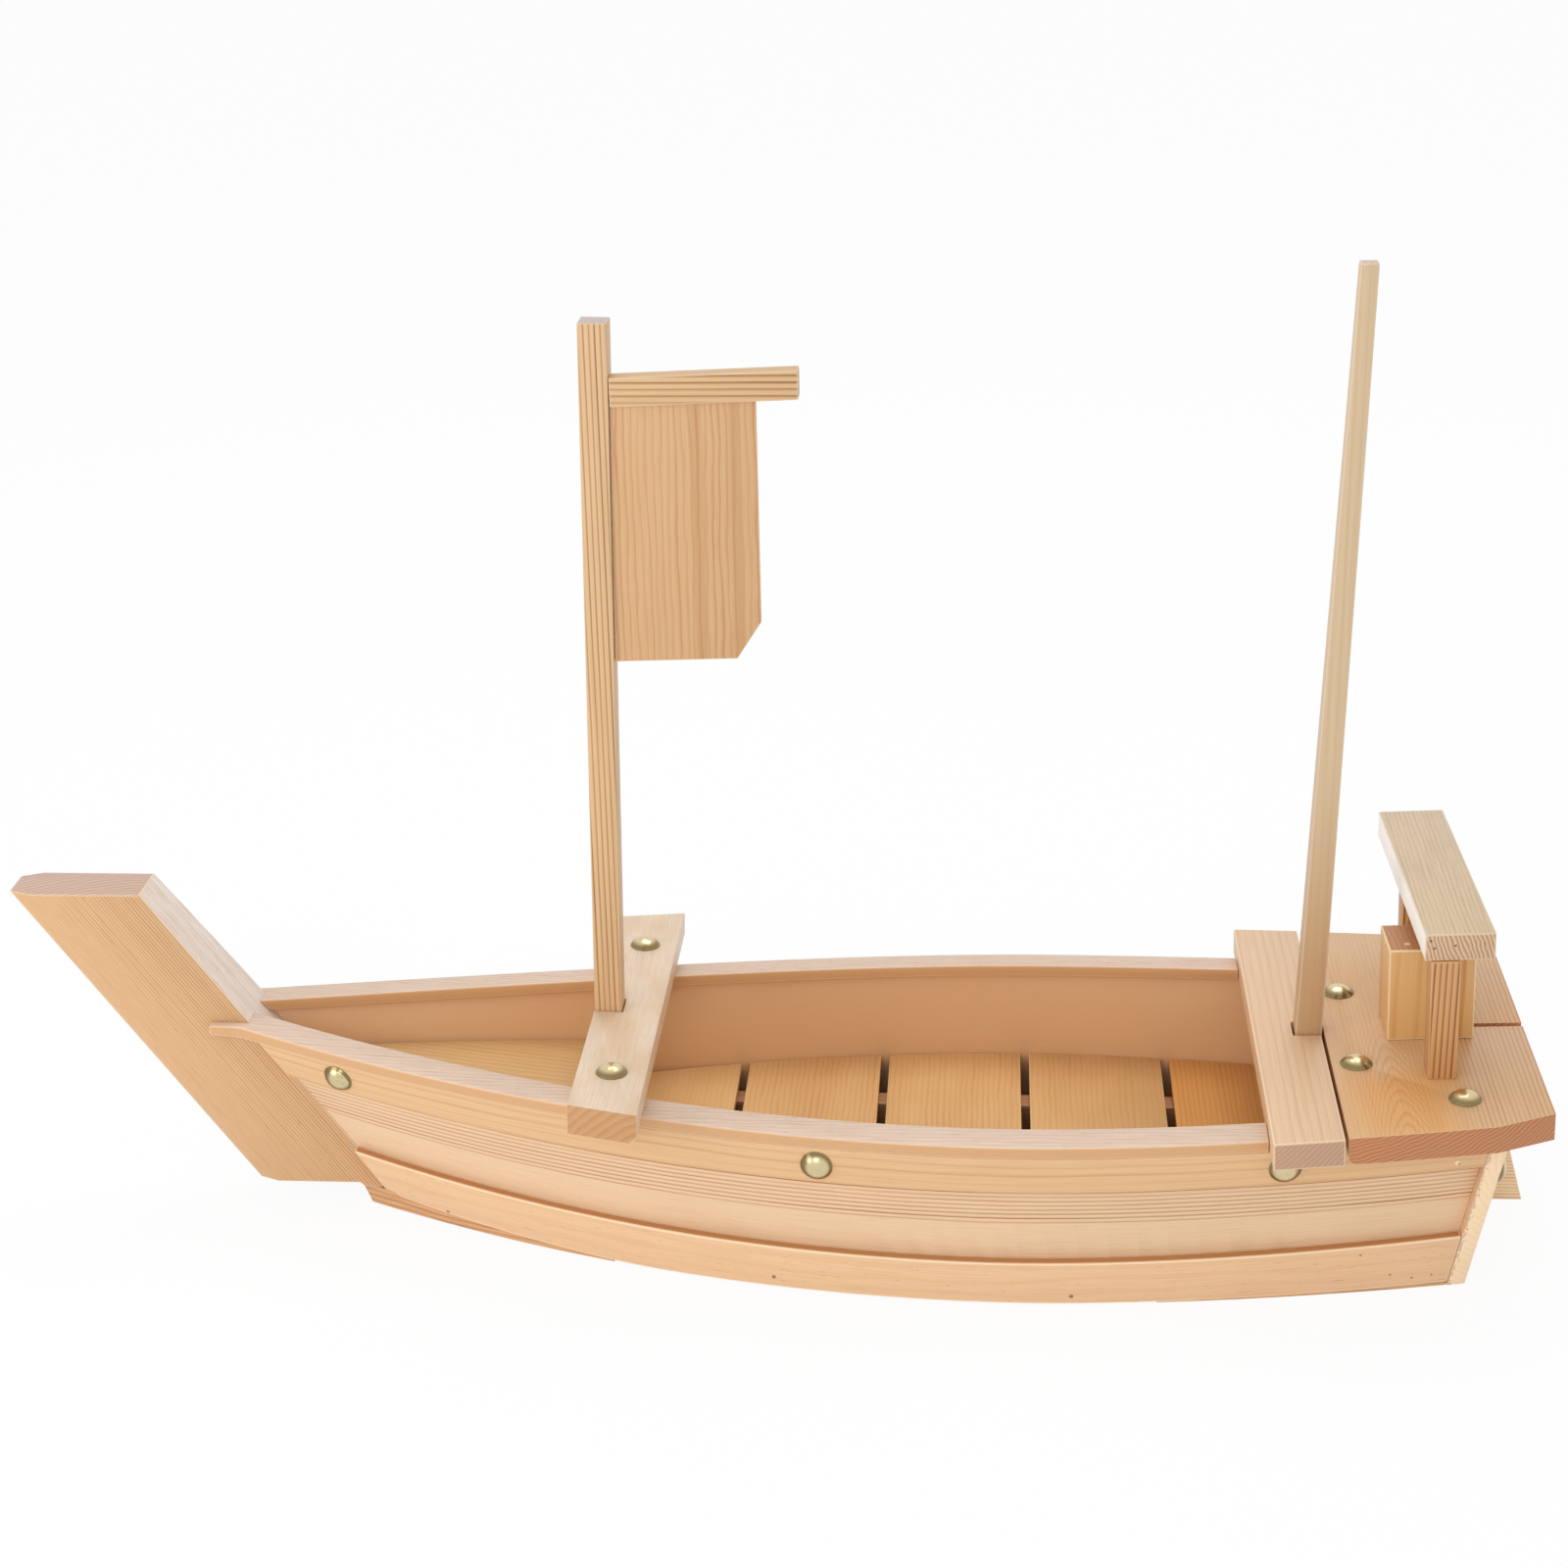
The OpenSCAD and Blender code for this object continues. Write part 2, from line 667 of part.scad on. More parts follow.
// Where a face of that floor, at height z at its aft edge, meets the stem
function floor_fore_x(z) = joint_gap
    + (stem_rear_x(z) - tan(stem_rake) * tan(bow_floor_climb) * bow_step_x)
        / (1 - tan(stem_rake) * tan(bow_floor_climb));

module bow_floor() {
    steps = 16;
    from = floor_fore_x(bow_floor_h);
    from_under = floor_fore_x(bow_floor_h - bow_floor_drop);
    function across(i) = let (x = from + (bow_step_x - from) * i / steps)
        [x, max(1, inside_y(x, bow_floor_z(x) - bow_floor_drop))];
    color("tan") afloat() intersection() {
        linear_extrude(sheer(bow_x)) polygon(concat(
            [for (i = [0:steps]) [across(i)[0], -across(i)[1]]],
            [for (i = [steps:-1:0]) across(i)]
        ));
        upright(beam) polygon([
            [from, bow_floor_z(from)], [from_under, bow_floor_z(from_under) - bow_floor_drop],
            [bow_step_x, bow_floor_h - bow_floor_drop], [bow_step_x, bow_floor_h]
        ]);
    }
}

module bow_bulkhead() {
    from = bow_step_x - bulkhead_t;
    low = board_t + joint_gap;
    top = bow_floor_h - bow_floor_drop - joint_gap;
    steps = 4;
    function edge(i) = let (z = low + (top - low) * i / steps) [inside_y(from, z), z];
    color("tan") afloat() translate([from, 0, 0]) rotate([90, 0, 90])
        linear_extrude(bulkhead_t) polygon(concat(
            [for (i = [0:steps]) edge(i)],
            [for (i = [steps:-1:0]) [-edge(i)[0], edge(i)[1]]]
        ));
}

// Frames on the thwarts and the deck, X along the boat and Z square to the board
module on_bow_thwart(h = 0) {
    translate([-bow_thwart_x, 0, sheer(-bow_thwart_x) + joint_gap])
        rotate([0, -bow_tilt, 0]) translate([0, 0, h]) children();
}

module on_stern(x, h = 0) {
    translate([x, 0, seat(x)]) rotate([0, -stern_tilt, 0]) translate([0, 0, h]) children();
}

function thwart_plan(x, w, out) = let (y1 = rail_y(x - w / 2) + out, y2 = rail_y(x + w / 2) + out)
    [[-w / 2, -y1], [w / 2, -y2], [w / 2, y2], [-w / 2, y1]];

module bow_thwart() {
    color("mistyrose") afloat() difference() {
        on_bow_thwart() linear_extrude(bow_thwart_t)
            polygon(thwart_plan(-bow_thwart_x, bow_thwart_w, bow_thwart_out));
        mast_solid(slot_gap);
        at_thwart_nails() nail_hole(thwart_shank);
    }
}

module stern_thwart() {
    color("linen") afloat() difference() {
        on_stern(stern_thwart_x) linear_extrude(deck_t)
            polygon(thwart_plan(stern_thwart_x, stern_thwart_w, stern_thwart_out));
        pole_slot();
    }
}

// Stern deck: its sides run with the hull, its aft corners are cut straight
module stern_deck() {
    steps = 6;
    side_len = deck_len - deck_corner;
    function edge(i) = let (s = side_len * i / steps) [s, rail_y(deck_x + s * cos(stern_tilt)) + deck_out];
    color("burlywood") afloat() difference() {
        on_stern(deck_x) linear_extrude(deck_t) difference() {
            polygon(concat(
                [for (i = [0:steps]) [edge(i)[0], -edge(i)[1]]],
                [[deck_len, -deck_aft_w / 2], [deck_len, deck_aft_w / 2]],
                [for (i = [steps:-1:0]) edge(i)]
            ));
            translate([cabin_back, -deck_slot_w / 2]) square([deck_len, deck_slot_w]);
        }
        at_front_nails() nail_hole(batten_shank);
        at_deck_side_nails() nail_hole(deck_shank);
    }
}

// Batten that the deck's front nails are driven into
module deck_batten() {
    from = deck_nail_back - deck_batten_w / 2;
    color("tan") afloat() difference() {
        intersection() {
            on_stern(deck_x, -deck_batten_w - joint_gap) translate([from, -beam / 2, 0])
                cube([deck_batten_w, beam, deck_batten_w]);
            linear_extrude(2 * side_h) polygon(batten_plan());
        }
        at_front_nails() nail_hole(batten_shank);
    }
}
function batten_plan() = let (
    x1 = deck_x, x2 = deck_x + 2 * deck_batten_w,
    z = seat(deck_x) - deck_batten_w - past,
    y1 = inside_y(x1, z), y2 = inside_y(x2, z)
) [[x1 - past, -y1], [x2, -y2], [x2, y2], [x1 - past, y1]];

// Cabin block and the stand over it
module cabin_block() {
    color("goldenrod") afloat() on_stern(deck_x, deck_t + joint_gap)
        translate([cabin_back, 0, 0]) rotate([0, 0, cabin_turn])
        translate([-cabin_len / 2, -cabin_w / 2, 0]) cube([cabin_len, cabin_w, cabin_h]);
}

module stand_post() {
    on_stern(deck_x, deck_t + joint_gap)
        translate([cabin_back - post_w / 2, stand_w / 2 - post_w, 0])
        cube([post_w, post_w, post_h - 2 * joint_gap]);
}
module stand_post_port() { color("tan") port() stand_post(); }
module stand_post_starboard() { color("tan") starboard() stand_post(); }

module stand_beam() {
    color("wheat") afloat() on_stern(deck_x, deck_t + post_h)
        translate([cabin_back + stand_beam_back, stand_beam_shift, 0])
        rotate([0, 0, stand_beam_turn])
        translate([-stand_beam_w / 2, -stand_beam_len / 2, 0])
        cube([stand_beam_w, stand_beam_len, stand_beam_t]);
}

// Mast, boom and sail board; the mast stands on the first slat
mast_foot_z = floor_h + tan(mast_rake) * mast_w / 2 + joint_gap;
mast_slope = tan(mast_rake);
thwart_top_z = sheer(-bow_thwart_x) + bow_thwart_t;
function mast_x(z) = -bow_thwart_x - mast_fore + mast_slope * (z - thwart_top_z);
function mast_aft_x(z) = mast_x(z) + mast_w / 2 / cos(mast_rake);

module mast_solid(grow = 0) {
    translate([mast_x(mast_foot_z), 0, mast_foot_z]) rotate([0, mast_rake, 0])
        translate([-mast_w / 2 - grow, -mast_w / 2 - grow, 0])
        cube([mast_w + 2 * grow, mast_w + 2 * grow, (mast_h - mast_foot_z) / cos(mast_rake)]);
}

module main_mast() {
    color("tan") afloat() mast_solid();
}

boom_z = mast_h - boom_drop;
boom_x = mast_aft_x(boom_z) + joint_gap;
function boom_under_z(x) = boom_z - boom_w / 2 / cos(boom_climb) + tan(boom_climb) * (x - boom_x);
function boom_over_z(x) = boom_under_z(x) + boom_w / cos(boom_climb);
boom_end_x = boom_x + boom_len * cos(boom_climb);

module boom() {
    butt = joint_gap + mast_slope * boom_w / 2;
    from = mast_aft_x(boom_z) + butt;
    color("tan") afloat() translate([0, -mast_w / 2 + boom_t / 2, 0]) upright(boom_t) polygon([
        [from, boom_under_z(from)], [boom_end_x, boom_under_z(boom_end_x)],
        [boom_end_x, boom_over_z(boom_end_x)], [from, boom_over_z(from)]
    ]);
}

sail_y = -mast_w / 2 + boom_t / 2 - sail_set;
module sail_board() {
    hang = boom_z - boom_w / 2;
    low = hang - sail_h;
    left_low = mast_aft_x(low) + 2 * joint_gap;
    left_top = mast_aft_x(hang) + 2 * joint_gap;
    right = mast_aft_x(hang - sail_h / 2) + sail_w;
    color("tan") afloat() translate([0, sail_y, 0]) upright(sail_t) polygon([
        [left_low, low], [right - sail_corner_w, low + sail_low_rise],
        [right, low + sail_low_rise + sail_corner_h],
        [right, boom_under_z(right) - joint_gap], [left_top, boom_under_z(left_top) - joint_gap]
    ]);
}

// Pole: straight through the thwart, then tapered; it stands on the last slat
pole_foot_z = floor_h + tan(mast_rake) * pole_foot_w / 2 + joint_gap;
pole_seat_z = seat(stern_thwart_x) + deck_t;
pole_seat_x = stern_thwart_x + stern_thwart_w / 2 * cos(stern_tilt) - pole_fore;
function pole_row(z, w) = let (x = pole_seat_x + mast_slope * (z - pole_seat_z), h = w / 2)
    [[x - h, -h, z], [x + h, -h, z], [x + h, h, z], [x - h, h, z]];

module rear_pole() {
    color("tan") afloat() loft([
        pole_row(pole_foot_z, pole_foot_w), pole_row(pole_seat_z, pole_foot_w),
        pole_row(pole_h, pole_top_w)
    ]);
}

module pole_slot() {
    w = pole_foot_w + 2 * slot_gap;
    loft([pole_row(pole_seat_z - 2 * deck_t, w), pole_row(pole_seat_z + 2 * deck_t, w)]);
}

// Nails with domed heads; each stands on Z = 0 with its shank below
module nail(shank) {
    ball = (pow(nail_d / 2, 2) + pow(dome_h, 2)) / (2 * dome_h);
    translate([0, 0, joint_gap]) {
        intersection() {
            translate([0, 0, dome_h - ball]) sphere(ball, $fn = 96);
            cylinder(d = nail_d, h = dome_h, $fn = 64);
        }
        translate([0, 0, -shank]) cylinder(d = shank_d, h = shank + dome_h / 2, $fn = 24);
    }
}

module nail_hole(shank) {
    translate([0, 0, -shank]) cylinder(d = shank_d + 2 * shank_gap, h = shank + past, $fn = 24);
}

thwart_nail_y = side_y(-bow_thwart_x, sheer(-bow_thwart_x) - rail_t) + plank_in + plank_t / 2;
module at_thwart_nails() {
    for (side = [-1, 1])
        on_bow_thwart(bow_thwart_t) translate([0, side * thwart_nail_y, 0]) children();
}

module at_front_nails() {
    on_stern(deck_x, deck_t) for (side = [-1, 1])
        translate([deck_nail_back, side * deck_nail_y, 0]) children();
}

module at_deck_side_nails() {
    side_nail_y = rail_y(deck_x + deck_side_nail_back) + plank_in;
    on_stern(deck_x, deck_t) for (side = [-1, 1])
        translate([deck_side_nail_back, side * side_nail_y, 0]) children();
}

transom_nail_y = side_y(transom_fore_x(transom_nail_z), transom_nail_z) + plank_in + plank_t / 2;
module at_transom_nails() {
    for (side = [-1, 1])
        translate([transom_aft_x(transom_nail_z), side * transom_nail_y, transom_nail_z])
            rotate([0, 90 + transom_rake, 0]) children();
}

// Side nails stand square to the strake's face
module at_side_nails() {
    reach = 4;
    for (x = nail_stations) {
        z = sheer(x) - nail_depth;
        turn = atan((side_y(x + reach, z) - side_y(x - reach, z)) / (2 * reach));
        lean = atan((side_y(x, z + reach) - side_y(x, z - reach)) / (2 * reach));
        translate([x, side_y(x, z) + strake_proud, z])
            rotate([0, 0, turn]) rotate([-90 - lean, 0, 0]) children();
    }
}

module thwart_nails() { color("gold") afloat() at_thwart_nails() nail(thwart_shank - joint_gap); }
module deck_nails() {
    color("gold") afloat() {
        at_front_nails() nail(batten_shank - joint_gap);
        at_deck_side_nails() nail(deck_shank - joint_gap);
    }
}
module transom_nails() { color("gold") afloat() at_transom_nails() nail(transom_shank - joint_gap); }
// Further gap under the side nails' heads, where the strakes twist
twist_gap = 0.1;
module side_nails() {
    at_side_nails() translate([0, 0, twist_gap]) nail(side_shank - joint_gap);
}
module side_nails_port() { color("gold") port() side_nails(); }
module side_nails_starboard() { color("gold") starboard() side_nails(); }

bottom_board();
stem();
transom();
rudder();
side_plank_port();
side_plank_starboard();
upper_strake_port();
upper_strake_starboard();
lower_strake_port();
lower_strake_starboard();
cap_rail_port();
cap_rail_starboard();
slat_runner_port();
slat_runner_starboard();
bow_bulkhead();
bow_floor();
bow_thwart();
stern_thwart();
stern_deck();
deck_batten();
cabin_block();
stand_post_port();
stand_post_starboard();
stand_beam();
main_mast();
boom();
sail_board();
rear_pole();
thwart_nails();
deck_nails();
transom_nails();
side_nails_port();
side_nails_starboard();
for (i = [1:slats]) deck_slat(i);
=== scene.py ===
"""Looks of the wooden serving boat: boards with their own grain, brass dome nails, a white studio."""

import math

import bpy
from mathutils import Matrix, Vector


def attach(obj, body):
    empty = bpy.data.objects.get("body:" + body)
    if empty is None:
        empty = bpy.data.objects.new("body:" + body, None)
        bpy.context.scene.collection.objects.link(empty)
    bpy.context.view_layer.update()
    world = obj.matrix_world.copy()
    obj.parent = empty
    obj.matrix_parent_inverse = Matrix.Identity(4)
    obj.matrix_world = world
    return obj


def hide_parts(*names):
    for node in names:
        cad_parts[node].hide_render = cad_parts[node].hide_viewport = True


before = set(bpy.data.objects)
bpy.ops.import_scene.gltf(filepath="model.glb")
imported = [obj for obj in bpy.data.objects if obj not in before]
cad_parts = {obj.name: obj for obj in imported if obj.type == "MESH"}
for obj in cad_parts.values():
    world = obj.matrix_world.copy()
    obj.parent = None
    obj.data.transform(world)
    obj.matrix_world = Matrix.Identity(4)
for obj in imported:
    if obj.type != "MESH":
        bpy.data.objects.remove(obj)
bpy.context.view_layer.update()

MM = 0.001
SIDES = ("port", "starboard")

# Finishing of the boards' meshes: how near points are joined, which faces are one, which edges are sharp
WELD = 0.002 * MM
ONE_FACE = math.radians(0.6)
SHARP = math.radians(31)
ARRIS_SEGMENTS = 2
ARRIS_WIDTH = 1.1
WORN_SEGMENTS = 5
WORN_RADIUS = 3.0
CORNER_REACH = 1.5 * MM
LONG_EDGE = 20 * MM

# How squarely a face has to point one way to count as facing it
STRAIGHT_END = 0.75
STRAIGHT_EDGE = 0.7
BENT_SIDE = 0.8
UPWARD = 0.5
UPRIGHT = 0.6

# Long lower corners of a board that lies across the boat: which side in x and in z
AFT_LOWER = (1, -1)
FORE_LOWER = (-1, -1)

# Sheer of the hull in millimetres, measured aft from its lowest point
LOWEST_X = 71.25
SIDE_H = 71.4
BOW_RISE = 14.2
BOW_RUN = 300.0
BOW_CURVE = 2.3
STERN_RISE = 4.7
STERN_RUN = 191.4
STERN_CURVE = 2

# Directions that the boards' grain follows
X = Vector((1, 0, 0))
Y = Vector((0, 1, 0))
Z = Vector((0, 0, 1))
STERN_TILT = math.radians(1.98)
MAST_LEAN = math.radians(1.29)
STEM_RAKE = math.radians(35.0)
DECK_RUN = Vector((math.cos(STERN_TILT), 0, math.sin(STERN_TILT)))
MAST_UP = Vector((math.sin(MAST_LEAN), 0, math.cos(MAST_LEAN)))
STEM_UP = Vector((-math.sin(STEM_RAKE), 0, math.cos(STEM_RAKE)))
STEM_AFT = Vector((math.cos(STEM_RAKE), 0, math.sin(STEM_RAKE)))
STEM_HEEL = Vector((-156.1, 0, 8.2))


def srgb(red, green, blue):
    """Scene colour of an 8-bit display colour."""
    parts = [value / 255 for value in (red, green, blue)]
    return tuple(p / 12.92 if p <= 0.04045 else ((p + 0.055) / 1.055) ** 2.4 for p in parts)


# How a finish is built up
class Finish:
    """A finish laid on layer by layer over a board's grain map, which runs in millimetres."""

    # Where in a year ring the wood is darkest, how far the noise's narrow range is stretched,
    # and how high the relief of the grain stands in millimetres
    RING_PEAK = 0.9
    NOISE_SPREAD = 4
    BUMP_HEIGHT = 0.15

    def __init__(self, name, face, seed):
        self.material = bpy.data.materials.new(name)
        self.material.use_nodes = True
        self.nodes = self.material.node_tree.nodes
        self.links = self.material.node_tree.links
        self.shader = self.nodes["Principled BSDF"]
        self.seed = seed
        self.colour = srgb(*face)
        self.relief = 0.0
        grain = self.nodes.new("ShaderNodeUVMap")
        grain.uv_map = "grain"
        self.grain = grain.outputs["UV"]
        split = self.nodes.new("ShaderNodeSeparateXYZ")
        self.links.new(self.grain, split.inputs[0])
        self.along = split.outputs[0]
        self.across = split.outputs[1]

    def put(self, socket, value):
        """Links a socket to another one, or sets it to a number or a colour."""
        if hasattr(value, "links"):
            self.links.new(value, socket)
        elif isinstance(value, tuple):
            socket.default_value = (*value, 1)
        else:
            socket.default_value = value

    def calc(self, operation, *values):
        """One step of arithmetic between sockets or numbers."""
        node = self.nodes.new("ShaderNodeMath")
        node.operation = operation
        for socket, value in zip(node.inputs, values):
            self.put(socket, value)
        return node.outputs[0]

    def times(self, first, *others):
        """The product of two or more values."""
        result = first
        for value in others:
            result = self.calc("MULTIPLY", result, value)
        return result

    def rest(self, value):
        """What a value lacks to 1."""
        return self.calc("SUBTRACT", 1.0, value)

    def step(self, value, low, high):
        """0 under low, 1 over high, and a smooth rise between them."""
        node = self.nodes.new("ShaderNodeMapRange")
        node.interpolation_type = "SMOOTHSTEP"
        self.put(node.inputs["Value"], value)
        node.inputs["From Min"].default_value = low
        node.inputs["From Max"].default_value = high
        return node.outputs["Result"]

    def band(self, value, low, high, soft):
        """1 between low and high, with soft edges."""
        rise = self.step(value, low - soft, low + soft)
        fall = self.step(value, high - soft, high + soft)
        return self.calc("SUBTRACT", rise, fall)

    def noise(self, length, width, detail=2.0, shift=0.0):
        """Noise whose patches are so long and so wide; shift keeps one layer's noise off another's."""
        place = self.nodes.new("ShaderNodeMapping")
        self.links.new(self.grain, place.inputs["Vector"])
        place.inputs["Scale"].default_value = (1 / length, 1 / width, 1)
        place.inputs["Location"].default_value = (self.seed * 3.7 + shift, self.seed * 1.3, shift)
        node = self.nodes.new("ShaderNodeTexNoise")
        node.inputs["Scale"].default_value = 1
        node.inputs["Detail"].default_value = detail
        self.links.new(place.outputs["Vector"], node.inputs["Vector"])
        return node.outputs["Fac"]

    def chance(self, value):
        """A random number for each whole number."""
        node = self.nodes.new("ShaderNodeTexWhiteNoise")
        node.noise_dimensions = "1D"
        self.links.new(self.calc("ADD", self.calc("FLOOR", value), self.seed * 7.0), node.inputs["W"])
        return node.outputs["Value"]

    def flag(self, name):
        """A value that the board's faces carry."""
        node = self.nodes.new("ShaderNodeAttribute")
        node.attribute_name = name
        return node.outputs["Fac"]

    def mix(self, amount, under, over):
        """One colour laid over another, by an amount from 0 to 1."""
        node = self.nodes.new("ShaderNodeMix")
        node.data_type = "RGBA"
        self.put(node.inputs[0], amount)
        self.put(node.inputs[6], under)
        self.put(node.inputs[7], over)
        return node.outputs[2]

    def tint(self, amount, colour):
        """Lays a display colour over the finish so far."""
        self.colour = self.mix(amount, self.colour, srgb(*colour))

    def rings(self, line, spacing, dark):
        """The year ring that each place lies in, and its shade: a slow rise and a sharp end."""
        phase = self.calc("DIVIDE", line, spacing)
        ring = self.calc("FRACT", phase)
        rise = self.step(ring, 1 - dark, self.RING_PEAK)
        fall = self.step(ring, self.RING_PEAK, 1.0)
        return phase, self.calc("SUBTRACT", rise, fall)

    def year_lines(self, spacing, colour, strength, dark=0.5, sway=2.0, wander=0.4, vary=0.6, within=1.0):
        """Year rings cut lengthways.

        dark is the darker share of a ring, sway and wander how far the lines bend over long and short
        stretches, vary how unlike the rings are, and within where on the board they show.
        """
        bends = self.noise(length=260, width=60)
        ripples = self.noise(length=34, width=8, shift=5)
        line = self.calc("MULTIPLY_ADD", bends, sway * self.NOISE_SPREAD, self.across)
        line = self.calc("MULTIPLY_ADD", ripples, wander * self.NOISE_SPREAD, line)
        phase, shade = self.rings(line, spacing, dark)
        own = self.calc("MULTIPLY_ADD", self.chance(phase), vary, 1 - vary)
        patches = self.noise(length=70, width=spacing * 1.5, detail=1, shift=9)
        worn = self.calc("MULTIPLY_ADD", patches, 0.9, 0.5)
        depth = self.times(self.times(shade, own), self.times(worn, within))
        self.tint(self.times(depth, strength), colour)
        self.relief = self.calc("MULTIPLY_ADD", depth, -0.6, self.relief)

    def flames(self, middle, start, spacing, width, colour, strength, slope=0.22):
        """Nested arches where the saw ran close along a ring."""
        curve = 1.7
        aside = self.calc("ABSOLUTE", self.calc("SUBTRACT", self.across, middle))
        bow = self.calc("POWER", aside, curve)
        line = self.calc("MULTIPLY_ADD", bow, 3.0 / width, self.times(self.along, slope))
        line = self.calc("MULTIPLY_ADD", self.noise(length=24, width=9, shift=3), 3.0, line)
        shade = self.rings(line, spacing, 0.6)[1]
        near = self.rest(self.step(aside, width * 0.6, width))
        here = self.band(self.along, start, start + width * 5, soft=width)
        self.tint(self.times(self.times(shade, near), self.times(here, strength)), colour)

    def fibres(self, colour, strength, length=30, width=0.5):
        """Fine streaks along the grain."""
        streak = self.noise(length, width, detail=3, shift=11)
        self.tint(self.times(self.step(streak, 0.42, 0.72), strength), colour)
        self.relief = self.calc("ADD", self.relief, self.times(streak, 0.5))

    def flecks(self, colour, strength, length=6, width=0.6, rare=0.7):
        """Short pores that lie in the grain; the nearer rare is to 1, the fewer there are."""
        spot = self.noise(length, width, shift=17)
        self.tint(self.times(self.step(spot, rare, rare + 0.05), strength), colour)

    def clouds(self, colour, strength, length=80, width=30):
        """Soft patches of another tone."""
        patch = self.noise(length, width, shift=23)
        self.tint(self.times(self.step(patch, 0.38, 0.66), strength), colour)

    def edges(self, colour, strength=0.85):
        """Tints the faces that carry the edge flag: on some boards planed edges of the wood, on others
        painted light, painted highlights or painted shade on the faces that point one way.
        """
        self.tint(self.times(self.flag("edge"), strength), colour)

    def ends(self, face, ring, spacing=2.2, heart=(4, -46), strength=0.5):
        """End grain: arcs round the tree's heart, with open pores."""
        dx = self.calc("SUBTRACT", self.along, heart[0])
        dy = self.calc("SUBTRACT", self.across, heart[1])
        out = self.calc("SQRT", self.calc("ADD", self.times(dx, dx), self.times(dy, dy)))
        out = self.calc("MULTIPLY_ADD", self.noise(length=9, width=9, shift=29), 3.0, out)
        shade = self.rings(out, spacing, 0.8)[1]
        cut = self.mix(self.times(shade, strength), srgb(*face), srgb(*ring))
        pores = self.step(self.noise(length=0.5, width=0.3, shift=31), 0.55, 0.7)
        pore_colour = tuple(part * 0.7 for part in srgb(*ring))
        cut = self.mix(self.times(pores, 0.3), cut, pore_colour)
        self.colour = self.mix(self.flag("cut"), self.colour, cut)

    def nick(self, place, size, colour, strength=0.8):
        """A small chip or pin hole at a place on the boat, in millimetres."""
        where = self.nodes.new("ShaderNodeTexCoord").outputs["Object"]
        gap = self.nodes.new("ShaderNodeVectorMath")
        gap.operation = "DISTANCE"
        self.links.new(where, gap.inputs[0])
        gap.inputs[1].default_value = tuple(part * MM for part in place)
        near = self.rest(self.step(gap.outputs["Value"], size * 0.6 * MM, size * MM))
        self.tint(self.times(near, strength), colour)

    def planed(self, arris, rub_and_highlight=0.5, roughness=0.42, bump=0.3):
        """Arrises paled by rub wear and a painted highlight, a low sheen and the relief of the grain close
        the finish.
        """
        # Rub wear and painted highlight: the arris faces are tinted pale.
        self.tint(self.times(self.flag("arris"), rub_and_highlight), arris)
        self.put(self.shader.inputs["Base Color"], self.colour)
        self.shader.inputs["Roughness"].default_value = roughness
        self.shader.inputs["Specular IOR Level"].default_value = 0.5
        node = self.nodes.new("ShaderNodeBump")
        node.inputs["Strength"].default_value = bump
        node.inputs["Distance"].default_value = self.BUMP_HEIGHT * MM
        self.put(node.inputs["Height"], self.relief)
        self.links.new(node.outputs["Normal"], self.shader.inputs["Normal"])
        return self.material


# The woods of this boat and the brass of its nails
def plank_wood():
    """Side planks: peach, with sharp brown lines under the upper strake only, and inner walls painted
    darker and more orange for the shade inside the hull.
    """
    wood = Finish("PlankWood", face=(233, 200, 163), seed=1)
    wood.fibres((214, 174, 137), strength=0.4)
    wood.flecks((180, 129, 87), strength=0.45)
    under_strake = wood.band(wood.across, 20.5, 37.5, soft=1.2)
    outside = wood.rest(wood.flag("edge"))
    upper = wood.times(under_strake, outside)
    # Painted shade: the inner walls are tinted darker and more orange.
    wood.edges((222, 174, 124))
    wood.year_lines(
        spacing=1.9, colour=(162, 96, 40), strength=0.95, dark=0.6, sway=0.2, wander=0.12, vary=0.5,
        within=upper
    )
    pin_holes = ((-128.0, -35.2, 29.6), (-79.6, -53.4, 40.5))
    for place in pin_holes:
        wood.nick(place, size=1.1, colour=(120, 74, 44))
    return wood.planed(arris=(247, 228, 200), rub_and_highlight=0.7)


def upper_strake_wood():
    """Upper strakes: orange tan with long gentle lines, and painted highlights along both edges."""
    wood = Finish("UpperStrakeWood", face=(227, 186, 139), seed=2)
    wood.year_lines(
        spacing=4.1, colour=(194, 137, 83), strength=0.55, dark=0.5, sway=1.3, wander=0.4, vary=0.7
    )
    wood.fibres((208, 159, 107), strength=0.45, length=40, width=0.45)
    # Painted highlight: the upper and lower sides are tinted pale.
    wood.edges((250, 220, 180))
    chip = (261.6, -67.5, 58.8)
    pin_hole = (262.3, -67.4, 58.3)
    wood.nick(chip, size=1.3, colour=(250, 226, 196))
    wood.nick(pin_hole, size=0.6, colour=(84, 50, 30))
    return wood.planed(arris=(250, 230, 195), rub_and_highlight=0.9)


def lower_strake_wood():
    """Lower strakes: peach with faint lines, short pores and an orange brown top edge."""
    wood = Finish("LowerStrakeWood", face=(236, 196, 154), seed=3)
    wood.year_lines(spacing=6.0, colour=(214, 160, 110), strength=0.3, dark=0.6, sway=3.4, wander=1.2)
    wood.fibres((216, 166, 120), strength=0.4)
    wood.flecks((186, 129, 85), strength=0.45, length=7, width=0.8, rare=0.66)
    wood.edges((188, 130, 80), strength=1.0)
    holes_by_stern = ((256.2, -61.1, 6.2), (240.1, -64.3, 7.8), (248.6, -62.5, 5.5), (228.0, -67.6, 18.2))
    for place in holes_by_stern:
        wood.nick(place, size=0.8, colour=(126, 80, 48))
    holes_by_keel = ((118.7, -77.9, 4.0), (4.6, -69.6, 5.0), (-129.8, -29.4, 7.1))
    for place in holes_by_keel:
        wood.nick(place, size=1.2, colour=(120, 76, 46))
    return wood.planed(arris=(255, 230, 194), rub_and_highlight=0.8)


